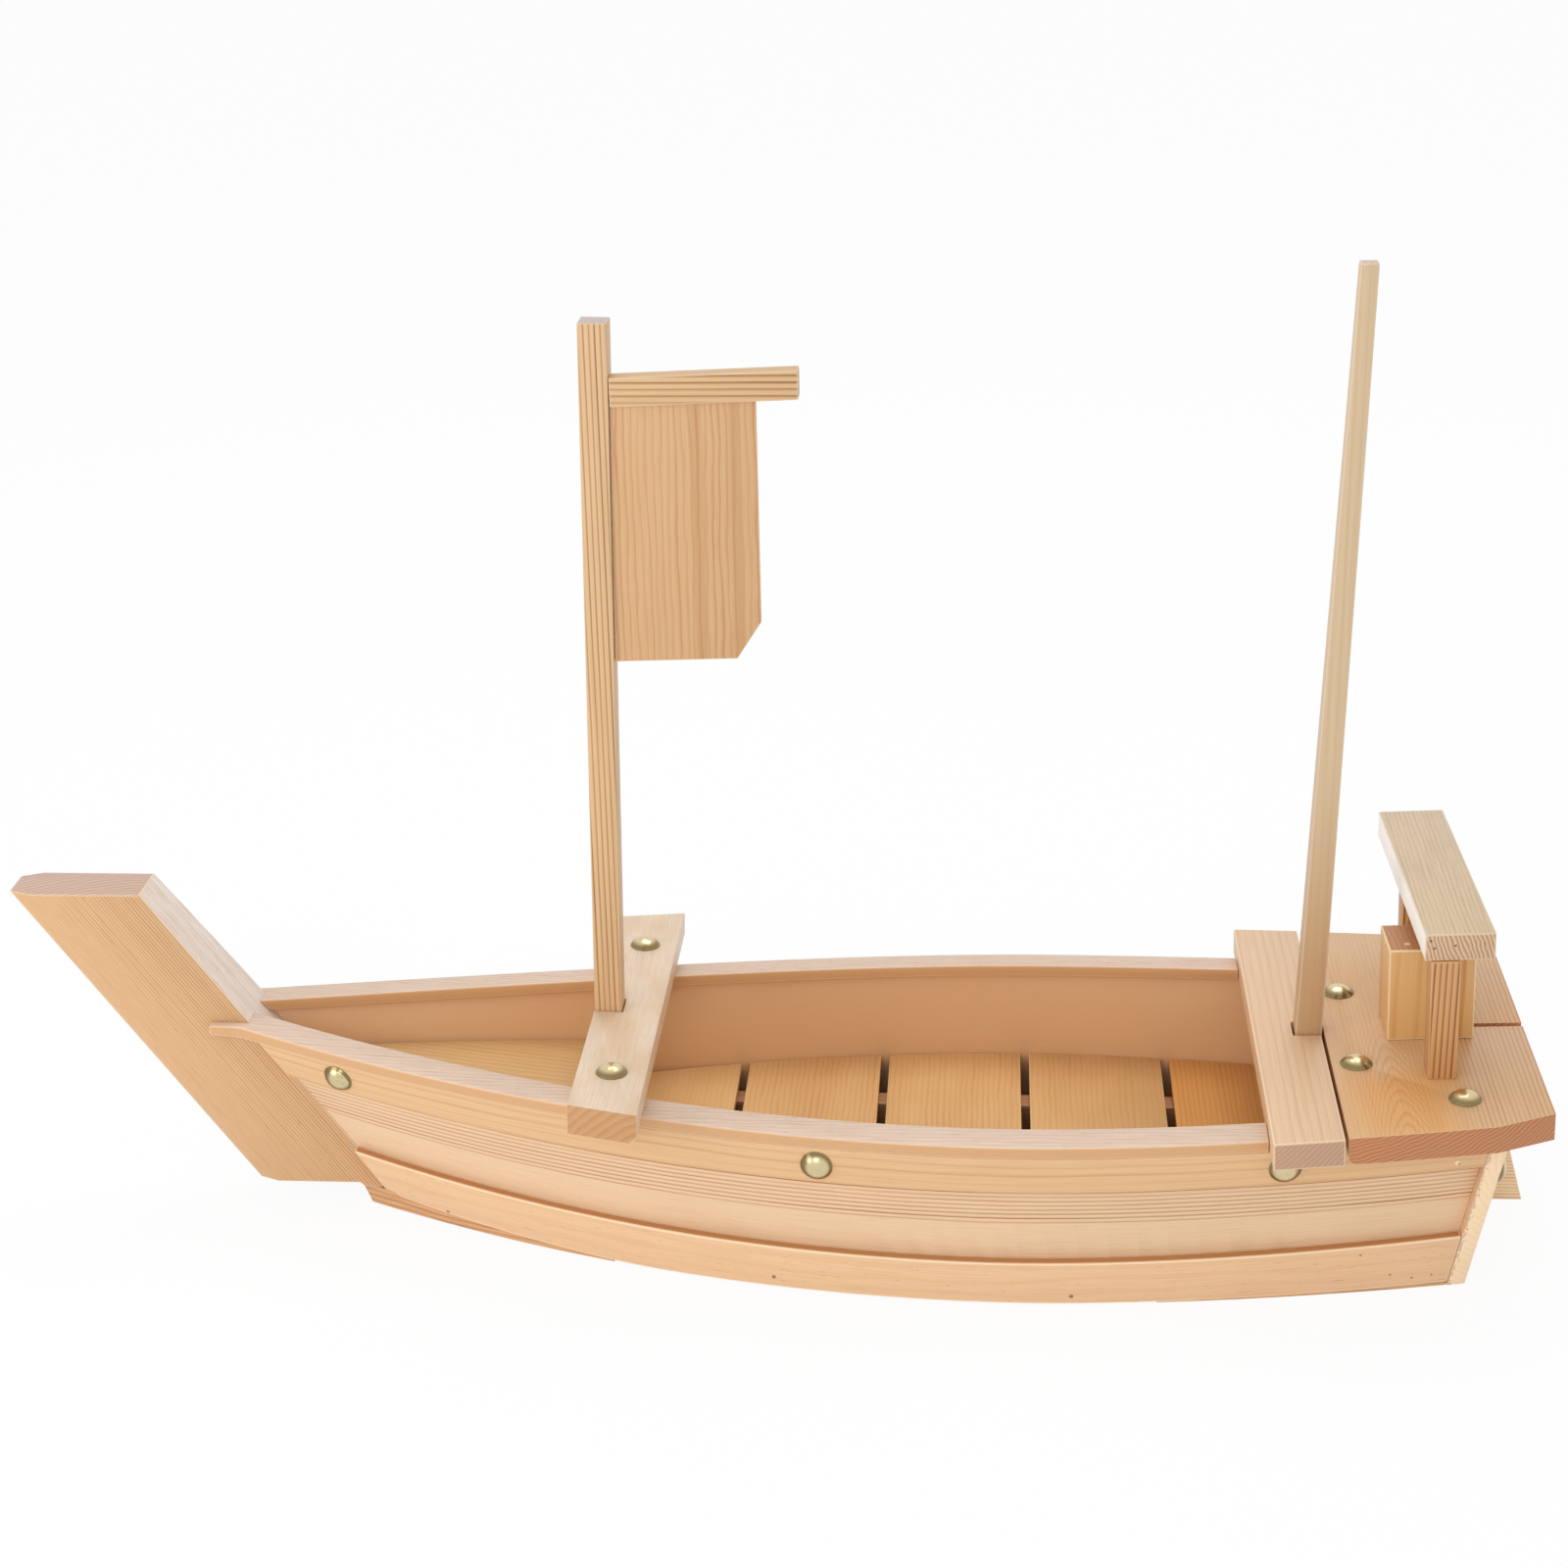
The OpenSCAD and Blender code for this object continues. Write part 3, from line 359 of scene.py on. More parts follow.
def rail_wood():
    """Cap rails: tops painted pinkish white for the light and sheen from above, with fine streaks, and
    orange tan down their sides.
    """
    # Painted light: the face colour, seen on the tops, is paled to pinkish white; the sides keep orange
    # tan.
    wood = Finish("RailWood", face=(223, 198, 177), seed=4)
    wood.year_lines(spacing=2.4, colour=(192, 152, 125), strength=0.6, dark=0.5, sway=0.6, wander=0.2)
    wood.fibres((194, 156, 129), strength=0.6, length=18, width=0.45)
    wood.flecks((138, 95, 64), strength=0.6, length=7, width=0.5, rare=0.67)
    wood.edges((212, 164, 114), strength=0.95)
    dents = ((-199.0, -22.0, 85.8), (-174.1, -29.8, 84.2), (-191.7, 7.7, 84.5), (-22.8, -76.4, 77.6))
    for place in dents:
        wood.nick(place, size=1.0, colour=(120, 84, 60), strength=0.6)
    return wood.planed(arris=(241, 208, 177))


def stem_wood():
    """Stem: fine straight lines, strongest towards the hull, and a rear face painted pinkish white for the
    light and sheen from above.
    """
    wood = Finish("StemWood", face=(218, 175, 129), seed=5)
    aft = wood.step(wood.across, -36, -6)
    mostly_aft = wood.calc("MULTIPLY_ADD", aft, 0.75, 0.25)
    # Painted light: the rear face is tinted near white.
    wood.edges((255, 249, 242), strength=0.85)
    wood.year_lines(
        spacing=1.25, colour=(157, 103, 55), strength=1.0, dark=0.6, sway=0.25, wander=0.08, vary=0.5,
        within=mostly_aft
    )
    wood.fibres((195, 145, 95), strength=0.45, length=14, width=0.5)
    wood.flecks((163, 109, 63), strength=0.4, length=5, width=0.5, rare=0.68)
    wood.ends(face=(208, 176, 156), ring=(168, 129, 107), spacing=2.4, heart=(10, -60), strength=0.6)
    return wood.planed(arris=(230, 201, 166))


def bottom_wood():
    """Bottom board: brown layers along its edge."""
    wood = Finish("BottomWood", face=(220, 170, 121), seed=6)
    wood.year_lines(spacing=2.2, colour=(139, 83, 42), strength=0.9, dark=0.6, sway=1.4, wander=0.8)
    wood.fibres((179, 122, 75), strength=0.5, length=16, width=0.6)
    wood.ends(face=(214, 164, 120), ring=(160, 108, 68))
    return wood.planed(arris=(232, 190, 143))


def bow_thwart_wood():
    """Bow thwart: pinkish white with faint lines, brown at its ends."""
    wood = Finish("BowThwartWood", face=(231, 209, 185), seed=7)
    wood.year_lines(spacing=3.0, colour=(215, 183, 151), strength=0.3, dark=0.5, sway=0.5, wander=0.2)
    wood.clouds((217, 181, 136), strength=0.5, length=30, width=16)
    wood.fibres((211, 179, 147), strength=0.45, length=12, width=0.5)
    wood.flecks((178, 139, 108), strength=0.3)
    wood.ends(face=(203, 153, 104), ring=(173, 118, 73), spacing=3.2, heart=(-16, -30), strength=0.4)
    return wood.planed(arris=(247, 223, 190))


def stern_thwart_wood():
    """Stern thwart: beige pink, with slanted grain at its ends."""
    wood = Finish("SternThwartWood", face=(227, 192, 155), seed=8)
    wood.year_lines(spacing=3.4, colour=(203, 160, 122), strength=0.5, dark=0.6, sway=0.8, wander=0.3)
    wood.fibres((203, 165, 127), strength=0.35)
    wood.flecks((164, 120, 83), strength=0.35)
    wood.ends(face=(196, 158, 130), ring=(160, 108, 80), spacing=1.6, heart=(104, -174), strength=0.35)
    return wood.planed(arris=(252, 225, 190))


def deck_wood():
    """Stern deck: pinkish tan, warmer and flamed in front of the block, straight lines further aft."""
    wood = Finish("DeckWood", face=(216, 176, 129), seed=9)
    aft = wood.step(wood.across, 262, 274)
    mostly_aft = wood.calc("MULTIPLY_ADD", aft, 0.7, 0.3)
    fore = wood.band(wood.across, 224, 262, soft=9)
    near_side = wood.band(wood.along, -86, -40, soft=9)
    wood.tint(wood.times(fore, near_side, 0.6), (229, 163, 86))
    wood.flames(middle=243, start=-92, spacing=1.9, width=17, colour=(187, 122, 55), strength=0.38)
    wood.year_lines(
        spacing=1.8, colour=(176, 112, 80), strength=0.75, dark=0.6, sway=0.4, wander=0.2, vary=0.5,
        within=mostly_aft
    )
    wood.fibres((196, 149, 100), strength=0.35)
    wood.flecks((145, 96, 58), strength=0.4)
    wood.ends(face=(200, 136, 90), ring=(140, 76, 40), spacing=1.5, heart=(197, -196), strength=0.55)
    return wood.planed(arris=(239, 199, 142), rub_and_highlight=0.8, roughness=0.36)


def bow_floor_wood():
    """Bow floor: olive tan."""
    wood = Finish("BowFloorWood", face=(226, 186, 130), seed=10)
    wood.year_lines(spacing=3.2, colour=(188, 145, 95), strength=0.5, dark=0.6, sway=1.0, wander=0.5)
    wood.fibres((203, 159, 104), strength=0.35)
    wood.flecks((148, 111, 71), strength=0.4)
    return wood.planed(arris=(241, 206, 153))


def slat_wood():
    """Floor slats: yellowish tan with fine wavy stripes, with painted light paling them by the bow and
    painted shade browning them by the stern.
    """
    wood = Finish("SlatWood", face=(226, 176, 120), seed=11)
    wood.year_lines(
        spacing=2.3, colour=(190, 132, 76), strength=0.6, dark=0.6, sway=1.3, wander=0.8, vary=0.5
    )
    wood.fibres((213, 166, 94), strength=0.4)
    wood.clouds((242, 204, 143), strength=0.3)
    wood.flecks((165, 118, 67), strength=0.4)
    # Painted light: paler towards the bow.
    painted_light_by_bow = wood.rest(wood.step(wood.across, -45, 25))
    wood.tint(wood.times(painted_light_by_bow, 0.5), (255, 214, 150))
    # Painted shade: browner towards the stern.
    painted_shade_by_stern = wood.step(wood.across, 90, 160)
    wood.tint(wood.times(painted_shade_by_stern, 0.4), (180, 128, 70))
    return wood.planed(arris=(247, 214, 148))


def last_slat_wood():
    """The slat under the stern thwart is redder than the rest."""
    wood = Finish("LastSlatWood", face=(219, 155, 83), seed=12)
    wood.year_lines(
        spacing=2.1, colour=(181, 118, 57), strength=0.6, dark=0.6, sway=0.9, wander=0.35, vary=0.5
    )
    wood.fibres((198, 133, 69), strength=0.35)
    return wood.planed(arris=(234, 176, 101))


def runner_wood():
    """Runners, bulkhead and batten: darker offcuts."""
    wood = Finish("RunnerWood", face=(190, 144, 104), seed=13)
    wood.year_lines(spacing=2.4, colour=(140, 96, 62), strength=0.6)
    wood.fibres((158, 112, 76), strength=0.4)
    return wood.planed(arris=(214, 176, 136))


def mast_wood():
    """Main mast: cream with brown stripes from foot to head."""
    wood = Finish("MastWood", face=(222, 183, 136), seed=14)
    wood.year_lines(
        spacing=2.1, colour=(118, 64, 26), strength=1.0, dark=0.45, sway=0.1, wander=0.05, vary=0.45
    )
    wood.fibres((189, 142, 92), strength=0.4, length=60, width=0.5)
    wood.ends(face=(196, 178, 172), ring=(160, 138, 128))
    return wood.planed(arris=(221, 193, 155))


def boom_wood():
    """Boom: cream with brown lengthwise stripes."""
    wood = Finish("BoomWood", face=(217, 180, 133), seed=15)
    wood.year_lines(
        spacing=2.5, colour=(140, 87, 42), strength=0.95, dark=0.6, sway=0.15, wander=0.08, vary=0.6
    )
    wood.fibres((194, 150, 100), strength=0.3, length=40, width=0.5)
    wood.ends(face=(214, 176, 140), ring=(170, 124, 88))
    return wood.planed(arris=(229, 201, 162))


def sail_wood():
    """Sail board: bare tan wood with wavy upright lines, two of them broad."""
    wood = Finish("SailWood", face=(213, 171, 126), seed=16)
    wood.year_lines(
        spacing=2.7, colour=(190, 124, 68), strength=0.75, dark=0.55, sway=1.4, wander=0.9, vary=0.6
    )
    wood.fibres((195, 146, 96), strength=0.4, length=40, width=0.6)
    broad_lines = ((-24.1, -20.1), (-9.6, -6.0))
    for low, high in broad_lines:
        line = wood.band(wood.across, low, high, soft=1.2)
        wood.tint(wood.times(line, 0.35), (184, 131, 80))
    return wood.planed(arris=(229, 197, 156))


def pole_wood():
    """Rear pole: plain tan, browner towards its foot."""
    wood = Finish("PoleWood", face=(213, 187, 151), seed=17)
    foot = wood.rest(wood.step(wood.along, 90, 210))
    wood.tint(wood.times(foot, 0.55), (184, 136, 82))
    wood.year_lines(spacing=3.1, colour=(188, 146, 98), strength=0.35, dark=0.6, sway=0.1, wander=0.05)
    wood.fibres((190, 157, 119), strength=0.3, length=60, width=0.5)
    wood.ends(face=(206, 182, 160), ring=(176, 146, 122))
    return wood.planed(arris=(229, 210, 188))


def cabin_wood():
    """Block on the deck: yellow orange with soft upright stripes and a brown pink top."""
    wood = Finish("CabinWood", face=(226, 181, 121), seed=18)
    wood.year_lines(
        spacing=8.5, colour=(196, 128, 58), strength=0.75, dark=0.4, sway=0.6, wander=0.3, vary=0.6
    )
    wood.fibres((210, 161, 100), strength=0.35)
    wood.ends(face=(194, 135, 90), ring=(162, 100, 62), spacing=2.0, heart=(-30, -20), strength=0.5)
    chip = (247.6, -6.0, 119.6)
    wood.nick(chip, size=1.4, colour=(240, 214, 190))
    return wood.planed(arris=(250, 226, 182), rub_and_highlight=0.8)


def post_wood():
    """Posts under the beam: orange with dark brown stripes."""
    wood = Finish("PostWood", face=(212, 159, 104), seed=19)
    wood.year_lines(
        spacing=2.2, colour=(115, 57, 21), strength=1.0, dark=0.6, sway=0.1, wander=0.06, vary=0.35
    )
    wood.fibres((184, 131, 78), strength=0.3)
    return wood.planed(arris=(223, 180, 129))


def beam_wood():
    """Beam over the posts: greyish beige, with slanted dark lines and pin holes at its end, and its face
    towards the bow painted near white for the light and sheen on that side.
    """
    wood = Finish("BeamWood", face=(212, 189, 157), seed=20)
    wood.year_lines(spacing=1.8, colour=(176, 142, 102), strength=0.6, dark=0.5, sway=0.5, wander=0.3)
    wood.fibres((184, 152, 114), strength=0.5, length=26, width=0.5)
    wood.flecks((140, 100, 62), strength=0.5, length=8, width=0.5, rare=0.68)
    # Painted light: the face towards the bow is tinted near white.
    wood.edges((255, 251, 247), strength=1.0)
    wood.ends(face=(222, 188, 152), ring=(132, 84, 50), spacing=1.5, heart=(-40, -16), strength=0.65)
    near_end = -43.5
    pin_holes = ((250.1, 138.6), (251.6, 135.6), (259.3, 136.8), (270.0, 137.6))
    for x, z in pin_holes:
        wood.nick((x, near_end, z), size=0.7, colour=(92, 56, 34))
    return wood.planed(arris=(232, 214, 185))


def transom_wood():
    """Transom: pale peach with rough saw marks down its ends."""
    wood = Finish("TransomWood", face=(228, 188, 150), seed=21)
    wood.year_lines(spacing=3.0, colour=(200, 152, 112), strength=0.5, dark=0.5, sway=0.6, wander=0.2)
    wood.fibres((208, 164, 124), strength=0.3)
    wood.ends(face=(254, 226, 188), ring=(232, 188, 146), spacing=2.6, heart=(60, 300), strength=0.2)
    rake = 0.167
    fore_foot = 262.6
    deepest = 5.5
    least = -1.6
    upright = wood.calc("MULTIPLY_ADD", wood.along, -rake, wood.across)
    from_fore = wood.calc("SUBTRACT", upright, fore_foot)
    chips = wood.noise(length=1.5, width=1.2, detail=1, shift=41)
    ragged = wood.calc("MULTIPLY_ADD", chips, deepest, least)
    saw_marks = wood.step(wood.calc("SUBTRACT", ragged, from_fore), 0.0, 0.5)
    wood.tint(wood.times(saw_marks, wood.flag("cut"), 0.4), (140, 88, 50))
    return wood.planed(arris=(250, 226, 196), rub_and_highlight=0.8)


def rudder_wood():
    """Rudder: close level lines."""
    wood = Finish("RudderWood", face=(255, 226, 183), seed=22)
    wood.year_lines(
        spacing=1.5, colour=(194, 135, 86), strength=0.8, dark=0.6, sway=0.1, wander=0.06, vary=0.5
    )
    wood.fibres((237, 192, 147), strength=0.3)
    wood.ends(face=(220, 180, 142), ring=(180, 132, 94))
    return wood.planed(arris=(255, 255, 228))


def nail_brass():
    """Satin brass, darkened towards the rim of each dome by tarnish and a painted dark reflection, and
    tarnished in fine spots.
    """
    metal = Finish("SatinBrass", face=(217, 199, 156), seed=23)
    # Tarnish and painted dark reflection: darker towards the rim of each dome.
    metal.tint(metal.step(metal.flag("rim"), 0.1, 0.3), (140, 122, 84))
    where = metal.nodes.new("ShaderNodeTexCoord").outputs["Object"]
    spots_per_metre = 900
    spots = metal.nodes.new("ShaderNodeTexNoise")
    spots.inputs["Scale"].default_value = spots_per_metre
    spots.inputs["Detail"].default_value = 3
    metal.links.new(where, spots.inputs["Vector"])
    stain = metal.step(spots.outputs["Fac"], 0.5, 0.75)
    metal.tint(metal.times(stain, 0.3), (140, 122, 80))
    metal.put(metal.shader.inputs["Base Color"], metal.colour)
    metal.shader.inputs["Metallic"].default_value = 1.0
    roughness = metal.calc("MULTIPLY_ADD", spots.outputs["Fac"], 0.16, 0.16)
    metal.put(metal.shader.inputs["Roughness"], roughness)
    return metal.material


# How a board is finished
def take(piece):
    """Selects one piece alone and makes it the active one."""
    bpy.ops.object.select_all(action="DESELECT")
    piece.select_set(True)
    bpy.context.view_layer.objects.active = piece


def merged_copy(node, name):
    """A copy of a CAD node with its loose triangles joined into whole faces, left in edit mode."""
    piece = bpy.data.objects.new(name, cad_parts[node].data.copy())
    bpy.context.scene.collection.objects.link(piece)
    take(piece)
    piece.data.materials.clear()
    bpy.ops.mesh.customdata_custom_splitnormals_clear()
    bpy.ops.object.mode_set(mode="EDIT")
    bpy.ops.mesh.select_mode(type="EDGE")
    bpy.ops.mesh.select_all(action="SELECT")
    bpy.ops.mesh.remove_doubles(threshold=WELD)
    bpy.ops.mesh.dissolve_limited(angle_limit=ONE_FACE)
    bpy.ops.mesh.normals_make_consistent(inside=False)
    bpy.ops.mesh.select_all(action="DESELECT")
    return piece


def worn_corner(piece, corner):
    """Rounds the long edge at one corner of a board's section."""
    bpy.ops.object.mode_set(mode="OBJECT")
    mesh = piece.data
    low = [min(v.co[axis] for v in mesh.vertices) for axis in range(3)]
    high = [max(v.co[axis] for v in mesh.vertices) for axis in range(3)]
    at_x = high[0] if corner[0] > 0 else low[0]
    at_z = high[2] if corner[1] > 0 else low[2]
    for edge in mesh.edges:
        ends = [mesh.vertices[i].co for i in edge.vertices]
        near = all(abs(p.x - at_x) < CORNER_REACH and abs(p.z - at_z) < CORNER_REACH for p in ends)
        edge.select = near and abs(ends[0].y - ends[1].y) > LONG_EDGE
    bpy.ops.object.mode_set(mode="EDIT")
    bpy.ops.mesh.bevel(offset=WORN_RADIUS * MM, segments=WORN_SEGMENTS, profile=0.5, affect="EDGES")
    bpy.ops.mesh.select_all(action="DESELECT")


def round_arrises(piece, radius):
    """Rounds all sharp edges a little and marks the new faces for rub wear and a painted highlight."""
    bpy.ops.mesh.edges_select_sharp(sharpness=SHARP)
    bpy.ops.mesh.bevel(
        offset=radius * MM, segments=ARRIS_SEGMENTS, profile=0.55, clamp_overlap=True, affect="EDGES"
    )
    bpy.ops.object.mode_set(mode="OBJECT")
    mesh = piece.data
    # Faces that get the pale arris tint, for rub wear and a painted highlight.
    rub_and_highlight = []
    for face in mesh.polygons:
        corners = [mesh.vertices[i].co for i in face.vertices]
        longest = max((a - b).length for a, b in zip(corners, corners[1:] + corners[:1]))
        narrow = face.area < ARRIS_WIDTH * radius * MM * longest
        rub_and_highlight.append(1.0 if narrow else 0.0)
    mesh.attributes.new("arris", "FLOAT", "FACE").data.foreach_set("value", rub_and_highlight)


def map_grain(piece, lay):
    """Writes the grain map; lay gives u, v and the cut and edge flags for a point and its face's normal."""
    mesh = piece.data
    while mesh.uv_layers:
        mesh.uv_layers.remove(mesh.uv_layers[0])
    mesh.uv_layers.new(name="grain")
    cuts, edges, places = [], [], []
    for face in mesh.polygons:
        for index in face.vertices:
            u, v, cut, edge = lay(mesh.vertices[index].co / MM, face.normal)
            places += (u, v)
        cuts.append(cut)
        edges.append(edge)
    mesh.uv_layers["grain"].data.foreach_set("uv", places)
    mesh.attributes.new("cut", "FLOAT", "FACE").data.foreach_set("value", cuts)
    mesh.attributes.new("edge", "FLOAT", "FACE").data.foreach_set("value", edges)


def close_board(piece, node, material):
    """Shades the finished piece, puts it in the node's place and lets it ride on the boat."""
    piece.data.materials.append(material)
    take(piece)
    bpy.ops.object.shade_smooth_by_angle(angle=SHARP)
    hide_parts(node)
    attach(piece, "root")


def board(node, material, lay, radius=0.5, worn=None):
    """Makes the finished board of a CAD node, with its arrises rounded and one long corner worn."""
    piece = merged_copy(node, node + "_board")
    if worn:
        worn_corner(piece, worn)
    round_arrises(piece, radius)
    map_grain(piece, lay)
    close_board(piece, node, material)


def straight(run, width, heel=Vector(), painted_lit_side=None):
    """Grain map of a straight board: u along run, v along width. The faces that look to the optional last
    side carry the edge flag, whose tint paints light on them.
    """
    thick = run.cross(width)

    def lay(place, normal):
        from_heel = place - heel
        u, v, t = from_heel.dot(run), from_heel.dot(width), from_heel.dot(thick)
        if abs(normal.dot(run)) > STRAIGHT_END:
            return v, t, 1.0, 0.0
        edge = 1.0 if painted_lit_side and normal.dot(painted_lit_side) > STRAIGHT_EDGE else 0.0
        if abs(normal.dot(width)) > abs(normal.dot(thick)):
            return u, t, 0.0, edge
        return u, v, 0.0, edge

    return lay


def sheer_height(x):
    """Height of the sheer at a place along the boat."""
    aft = x - LOWEST_X
    if aft < 0:
        return SIDE_H + BOW_RISE * (-aft / BOW_RUN) ** BOW_CURVE
    return SIDE_H + STERN_RISE * (aft / STERN_RUN) ** STERN_CURVE


def bent(is_edge):
    """Grain map of a board bent round the hull: u along the boat, v down from the sheer."""

    def lay(place, normal):
        edge = 1.0 if is_edge(place, normal) else 0.0
        if abs(normal.x) > BENT_SIDE:
            return place.y, place.z, 1.0, edge
        if abs(normal.z) > BENT_SIDE:
            return place.x, place.y, 0.0, edge
        return place.x, sheer_height(place.x) - place.z, 0.0, edge

    return lay


def faces_inward(place, normal):
    """The inner walls of the hull."""
    return normal.y * place.y < 0 and abs(normal.z) < BENT_SIDE


def faces_up_or_down(place, normal):
    """The upper and lower sides of a board."""
    return abs(normal.z) > BENT_SIDE


def faces_up(place, normal):
    """The upper side of a board, also where it leans."""
    return normal.z > UPWARD


def faces_aside(place, normal):
    """The inner and outer sides of a board that lies flat."""
    return abs(normal.z) < UPRIGHT


# The boards
def hull_boards():
    """The boards that form the hull: both sides, its two ends, the rudder and the bottom."""
    plank, strake, low_strake, rail = plank_wood(), upper_strake_wood(), lower_strake_wood(), rail_wood()
    for side in SIDES:
        board("side_plank_" + side, plank, bent(faces_inward), 0.4)
        board("upper_strake_" + side, strake, bent(faces_up_or_down), 0.6)
        board("lower_strake_" + side, low_strake, bent(faces_up), 0.7)
        board("cap_rail_" + side, rail, bent(faces_aside), 0.6)
    board("stem", stem_wood(), straight(STEM_UP, STEM_AFT, STEM_HEEL, STEM_AFT), 0.6)
    board("transom", transom_wood(), straight(Y, Z))
    board("rudder", rudder_wood(), straight(X, Z), 0.3)
    board("bottom_board", bottom_wood(), straight(X, Y))


def inner_boards():
    """What lies inside the hull: runners, bulkhead, batten, bow floor and slats."""
    runner, slat = runner_wood(), slat_wood()
    for side in SIDES:
        board("slat_runner_" + side, runner, straight(X, Y), 0.4)
    board("bow_bulkhead", runner, straight(Y, Z), 0.4)
    board("deck_batten", runner, straight(Y, X), 0.4)
    board("bow_floor", bow_floor_wood(), straight(X, Y), 0.4)
    for number in range(1, 5):
        board(f"deck_slat_{number}", slat, straight(Y, X), 0.4)
    board("deck_slat_5", last_slat_wood(), straight(Y, X), 0.4)


def thwarts_and_deck():
    """The boards across the hull, and what stands on the stern deck."""
    board("bow_thwart", bow_thwart_wood(), straight(Y, X), 0.7, AFT_LOWER)
    board("stern_thwart", stern_thwart_wood(), straight(Y, DECK_RUN), 0.6)
    board("stern_deck", deck_wood(), straight(Y, DECK_RUN), 0.7, FORE_LOWER)
    board("cabin_block", cabin_wood(), straight(Z, X), 0.6)
    post = post_wood()
    for side in SIDES:
        board("stand_post_" + side, post, straight(Z, X), 0.5)
    board("stand_beam", beam_wood(), straight(Y, X, painted_lit_side=-X), 0.6)


def rig():
    """Mast, boom, blank sail board and rear pole."""
    board("main_mast", mast_wood(), straight(MAST_UP, X), 0.5)
    board("boom", boom_wood(), straight(X, Z), 0.5)
    board("sail_board", sail_wood(), straight(MAST_UP, X), 0.3)
    board("rear_pole", pole_wood(), straight(MAST_UP, X), 0.5)


def nails(node, brass, axis):
    """Dome nails of one node; axis points out of their board, and the rim is what turns from it."""
    piece = merged_copy(node, node + "_brass")
    bpy.ops.object.mode_set(mode="OBJECT")
    mesh = piece.data
    rims = [1 - abs(v.normal.dot(axis)) for v in mesh.vertices]
    mesh.attributes.new("rim", "FLOAT", "POINT").data.foreach_set("value", rims)
    map_grain(piece, straight(X, Y))
    close_board(piece, node, brass)


def all_nails():
    """Every nail that shows."""
    brass = nail_brass()
    nails("thwart_nails", brass, Z)
    nails("deck_nails", brass, Z)
    nails("transom_nails", brass, X)
    for side in SIDES:
        nails("side_nails_" + side, brass, Y)


# White studio, in metres
BOAT_MIDDLE = Vector((0, 0, 0.08))
FLOOR_SIDE = 12
FLOOR_DROP = 0.3 * MM
PAPER_WHITE = 0.95
SEEN_WHITE = 0.92
SKY_LEVEL = 0.72

# The photograph's camera: its place and lens in millimetres, its turns in degrees
CAMERA_PLACE = Vector((84.569, -1000.0, 591.950))
TURN_TO_BOW = 4.4181
LOOK_DOWN = 22.2267
ROLL = -1.2859
LENS = 64.4993
SENSOR = 36


def white_paper():
    """The floor looks like white paper to the camera and in reflections, and keeps a faint shadow."""
    paper = bpy.data.materials.new("WhitePaper")
    paper.use_nodes = True
    nodes, links = paper.node_tree.nodes, paper.node_tree.links
    nodes.remove(nodes["Principled BSDF"])
    matt = nodes.new("ShaderNodeBsdfDiffuse")
    matt.inputs["Color"].default_value = (PAPER_WHITE, PAPER_WHITE, PAPER_WHITE, 1)
    lit = nodes.new("ShaderNodeEmission")
    lit.inputs["Color"].default_value = (1, 1, 1, 1)
    lit.inputs["Strength"].default_value = 1.0
    seen = nodes.new("ShaderNodeMath")
    seen.operation = "MULTIPLY"
    links.new(seen_ray(nodes, links), seen.inputs[0])
    seen.inputs[1].default_value = SEEN_WHITE
    mix = nodes.new("ShaderNodeMixShader")
    links.new(seen.outputs[0], mix.inputs[0])
    links.new(matt.outputs[0], mix.inputs[1])
    links.new(lit.outputs[0], mix.inputs[2])
    links.new(mix.outputs[0], nodes["Material Output"].inputs["Surface"])
    return paper


def seen_ray(nodes, links):
    """1 for what the camera sees, also in a reflection or through glass."""
    path = nodes.new("ShaderNodeLightPath")
    result = path.outputs["Is Camera Ray"]
    for name in ("Is Glossy Ray", "Is Transmission Ray"):
        most = nodes.new("ShaderNodeMath")
        most.operation = "MAXIMUM"
        links.new(result, most.inputs[0])
        links.new(path.outputs[name], most.inputs[1])
        result = most.outputs[0]
    return result


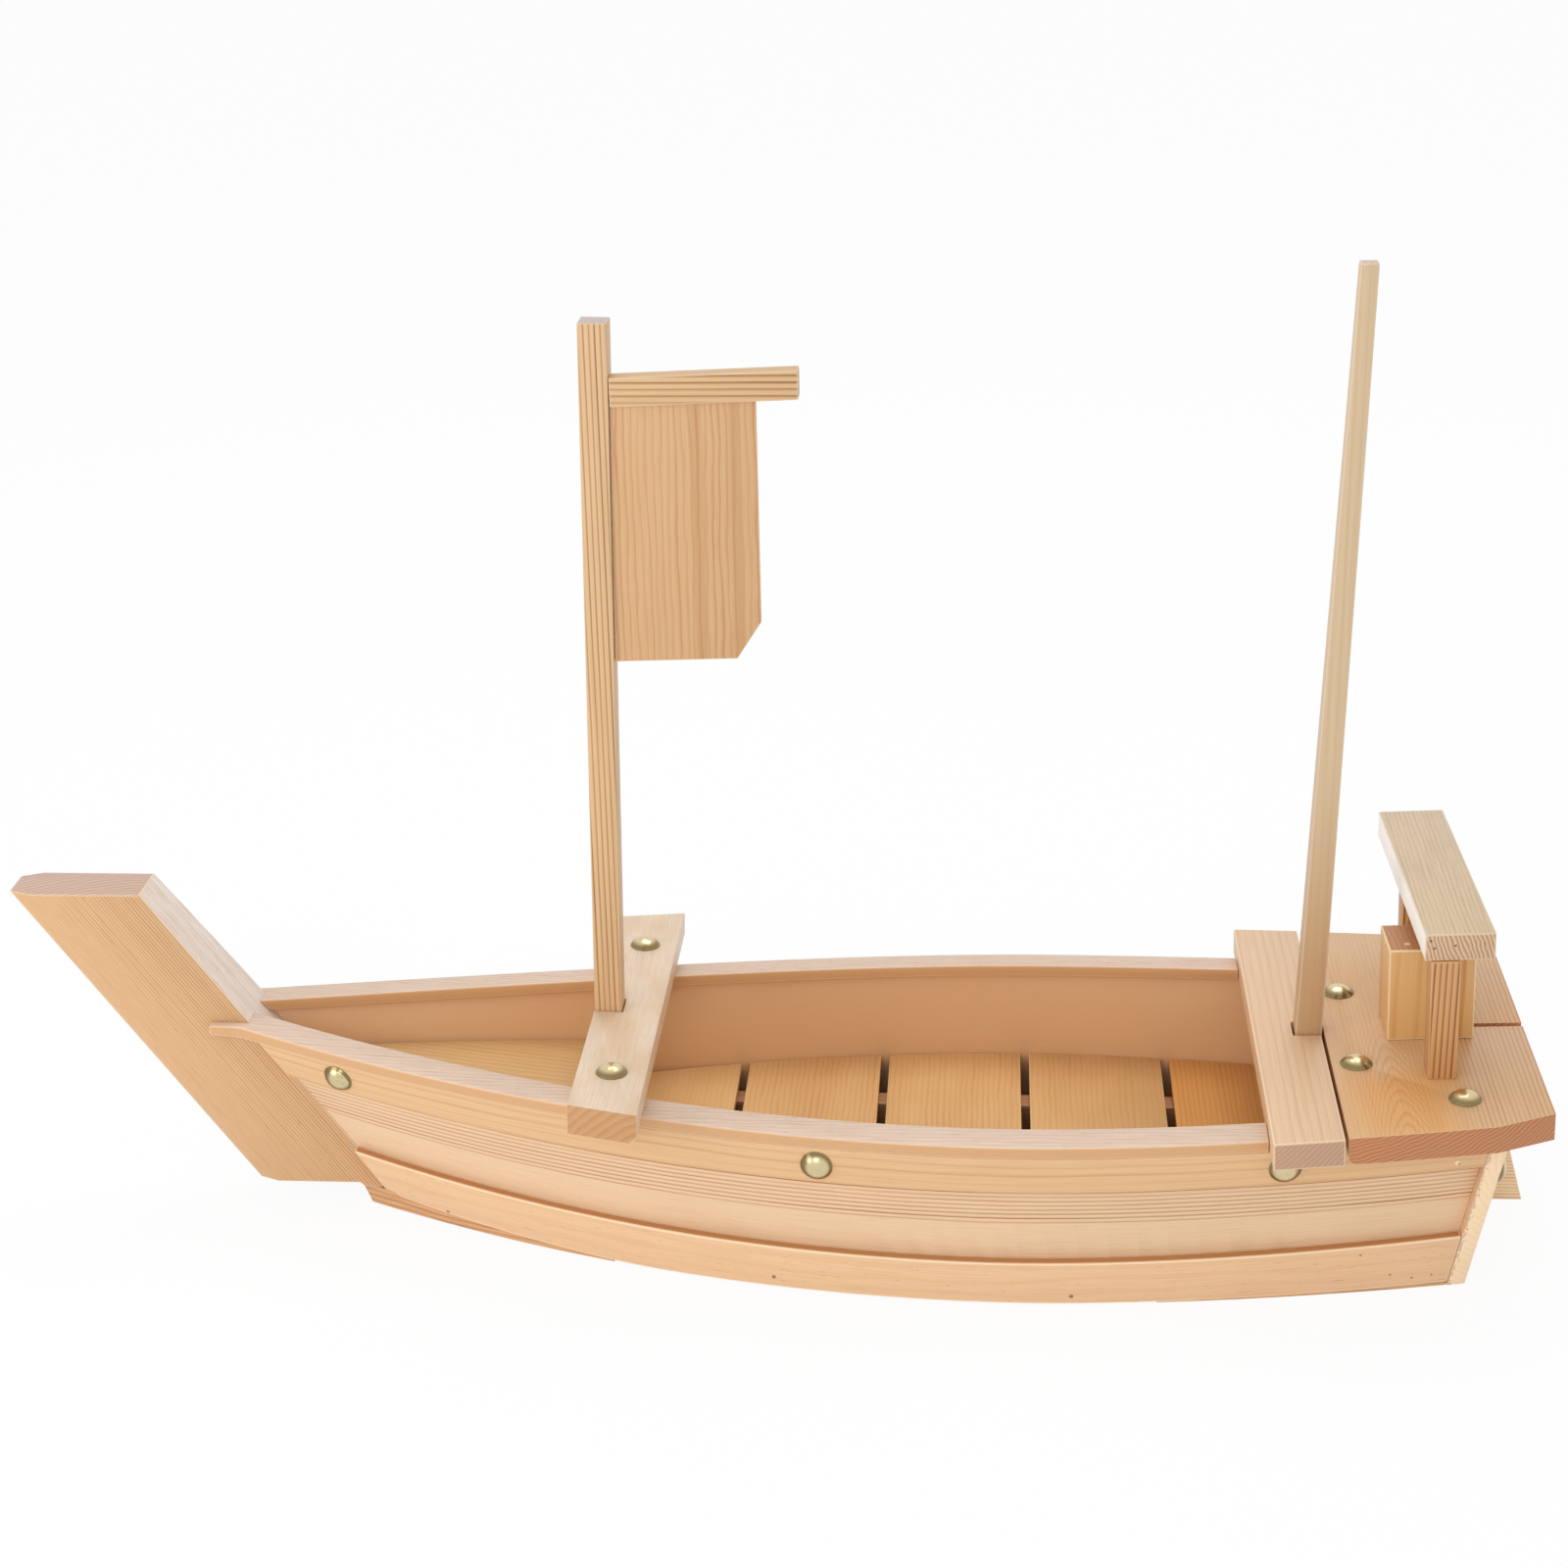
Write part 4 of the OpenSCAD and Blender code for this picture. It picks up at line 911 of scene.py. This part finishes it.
def white_sky(level):
    """World that lights the boat at one level and is seen as white."""
    world = bpy.data.worlds.new("WhiteStudio")
    bpy.context.scene.world = world
    world.use_nodes = True
    nodes, links = world.node_tree.nodes, world.node_tree.links
    strength = nodes.new("ShaderNodeMath")
    strength.operation = "MULTIPLY_ADD"
    links.new(seen_ray(nodes, links), strength.inputs[0])
    strength.inputs[1].default_value = 1 - level
    strength.inputs[2].default_value = level
    sky = nodes["Background"]
    sky.inputs["Color"].default_value = (1, 1, 1, 1)
    links.new(strength.outputs[0], sky.inputs["Strength"])


def soft_lamp(name, place, width, depth, watts):
    """A soft box that looks at the boat's middle, with its place and sides in metres."""
    aim = (BOAT_MIDDLE - Vector(place)).to_track_quat("-Z", "Y").to_euler()
    bpy.ops.object.light_add(type="AREA", location=place, rotation=aim)
    lamp = bpy.context.object
    lamp.name = name
    lamp.data.shape = "RECTANGLE"
    lamp.data.size = width
    lamp.data.size_y = depth
    lamp.data.energy = watts


def studio():
    """White floor, even sky and three soft boxes."""
    bpy.ops.object.select_all(action="DESELECT")
    bpy.ops.mesh.primitive_plane_add(size=FLOOR_SIDE, location=(0, 0, -FLOOR_DROP))
    floor = bpy.context.object
    floor.name = "studio_floor"
    floor.data.materials.append(white_paper())
    white_sky(SKY_LEVEL)
    soft_lamp("lamp_over_stern", place=(0.1, 0.55, 1.5), width=1.0, depth=0.7, watts=5.5)
    soft_lamp("lamp_in_front", place=(-0.25, -1.5, 0.85), width=0.7, depth=0.5, watts=4.3)
    soft_lamp("lamp_off_bow", place=(-1.1, -0.75, 0.5), width=0.7, depth=0.7, watts=4.2)


def photo_camera():
    """The camera that took the photograph, found from the boat's own lines."""
    place = Matrix.Translation(CAMERA_PLACE * MM)
    to_bow = Matrix.Rotation(math.radians(TURN_TO_BOW), 4, "Z")
    from_above = Matrix.Rotation(math.radians(90 - LOOK_DOWN), 4, "X")
    roll = Matrix.Rotation(math.radians(ROLL), 4, "Z")
    bpy.ops.object.camera_add()
    camera = bpy.context.object
    camera.name = "PhotoCamera"
    camera.data.sensor_width = SENSOR
    camera.data.lens = LENS
    camera.data.clip_start = 0.05
    camera.data.clip_end = 50
    camera.matrix_world = place @ to_bow @ from_above @ roll
    bpy.context.scene.camera = camera


hull_boards()
inner_boards()
thwarts_and_deck()
rig()
all_nails()
studio()
photo_camera()
bpy.context.scene.view_settings.view_transform = "Standard"

bpy.context.view_layer.update()
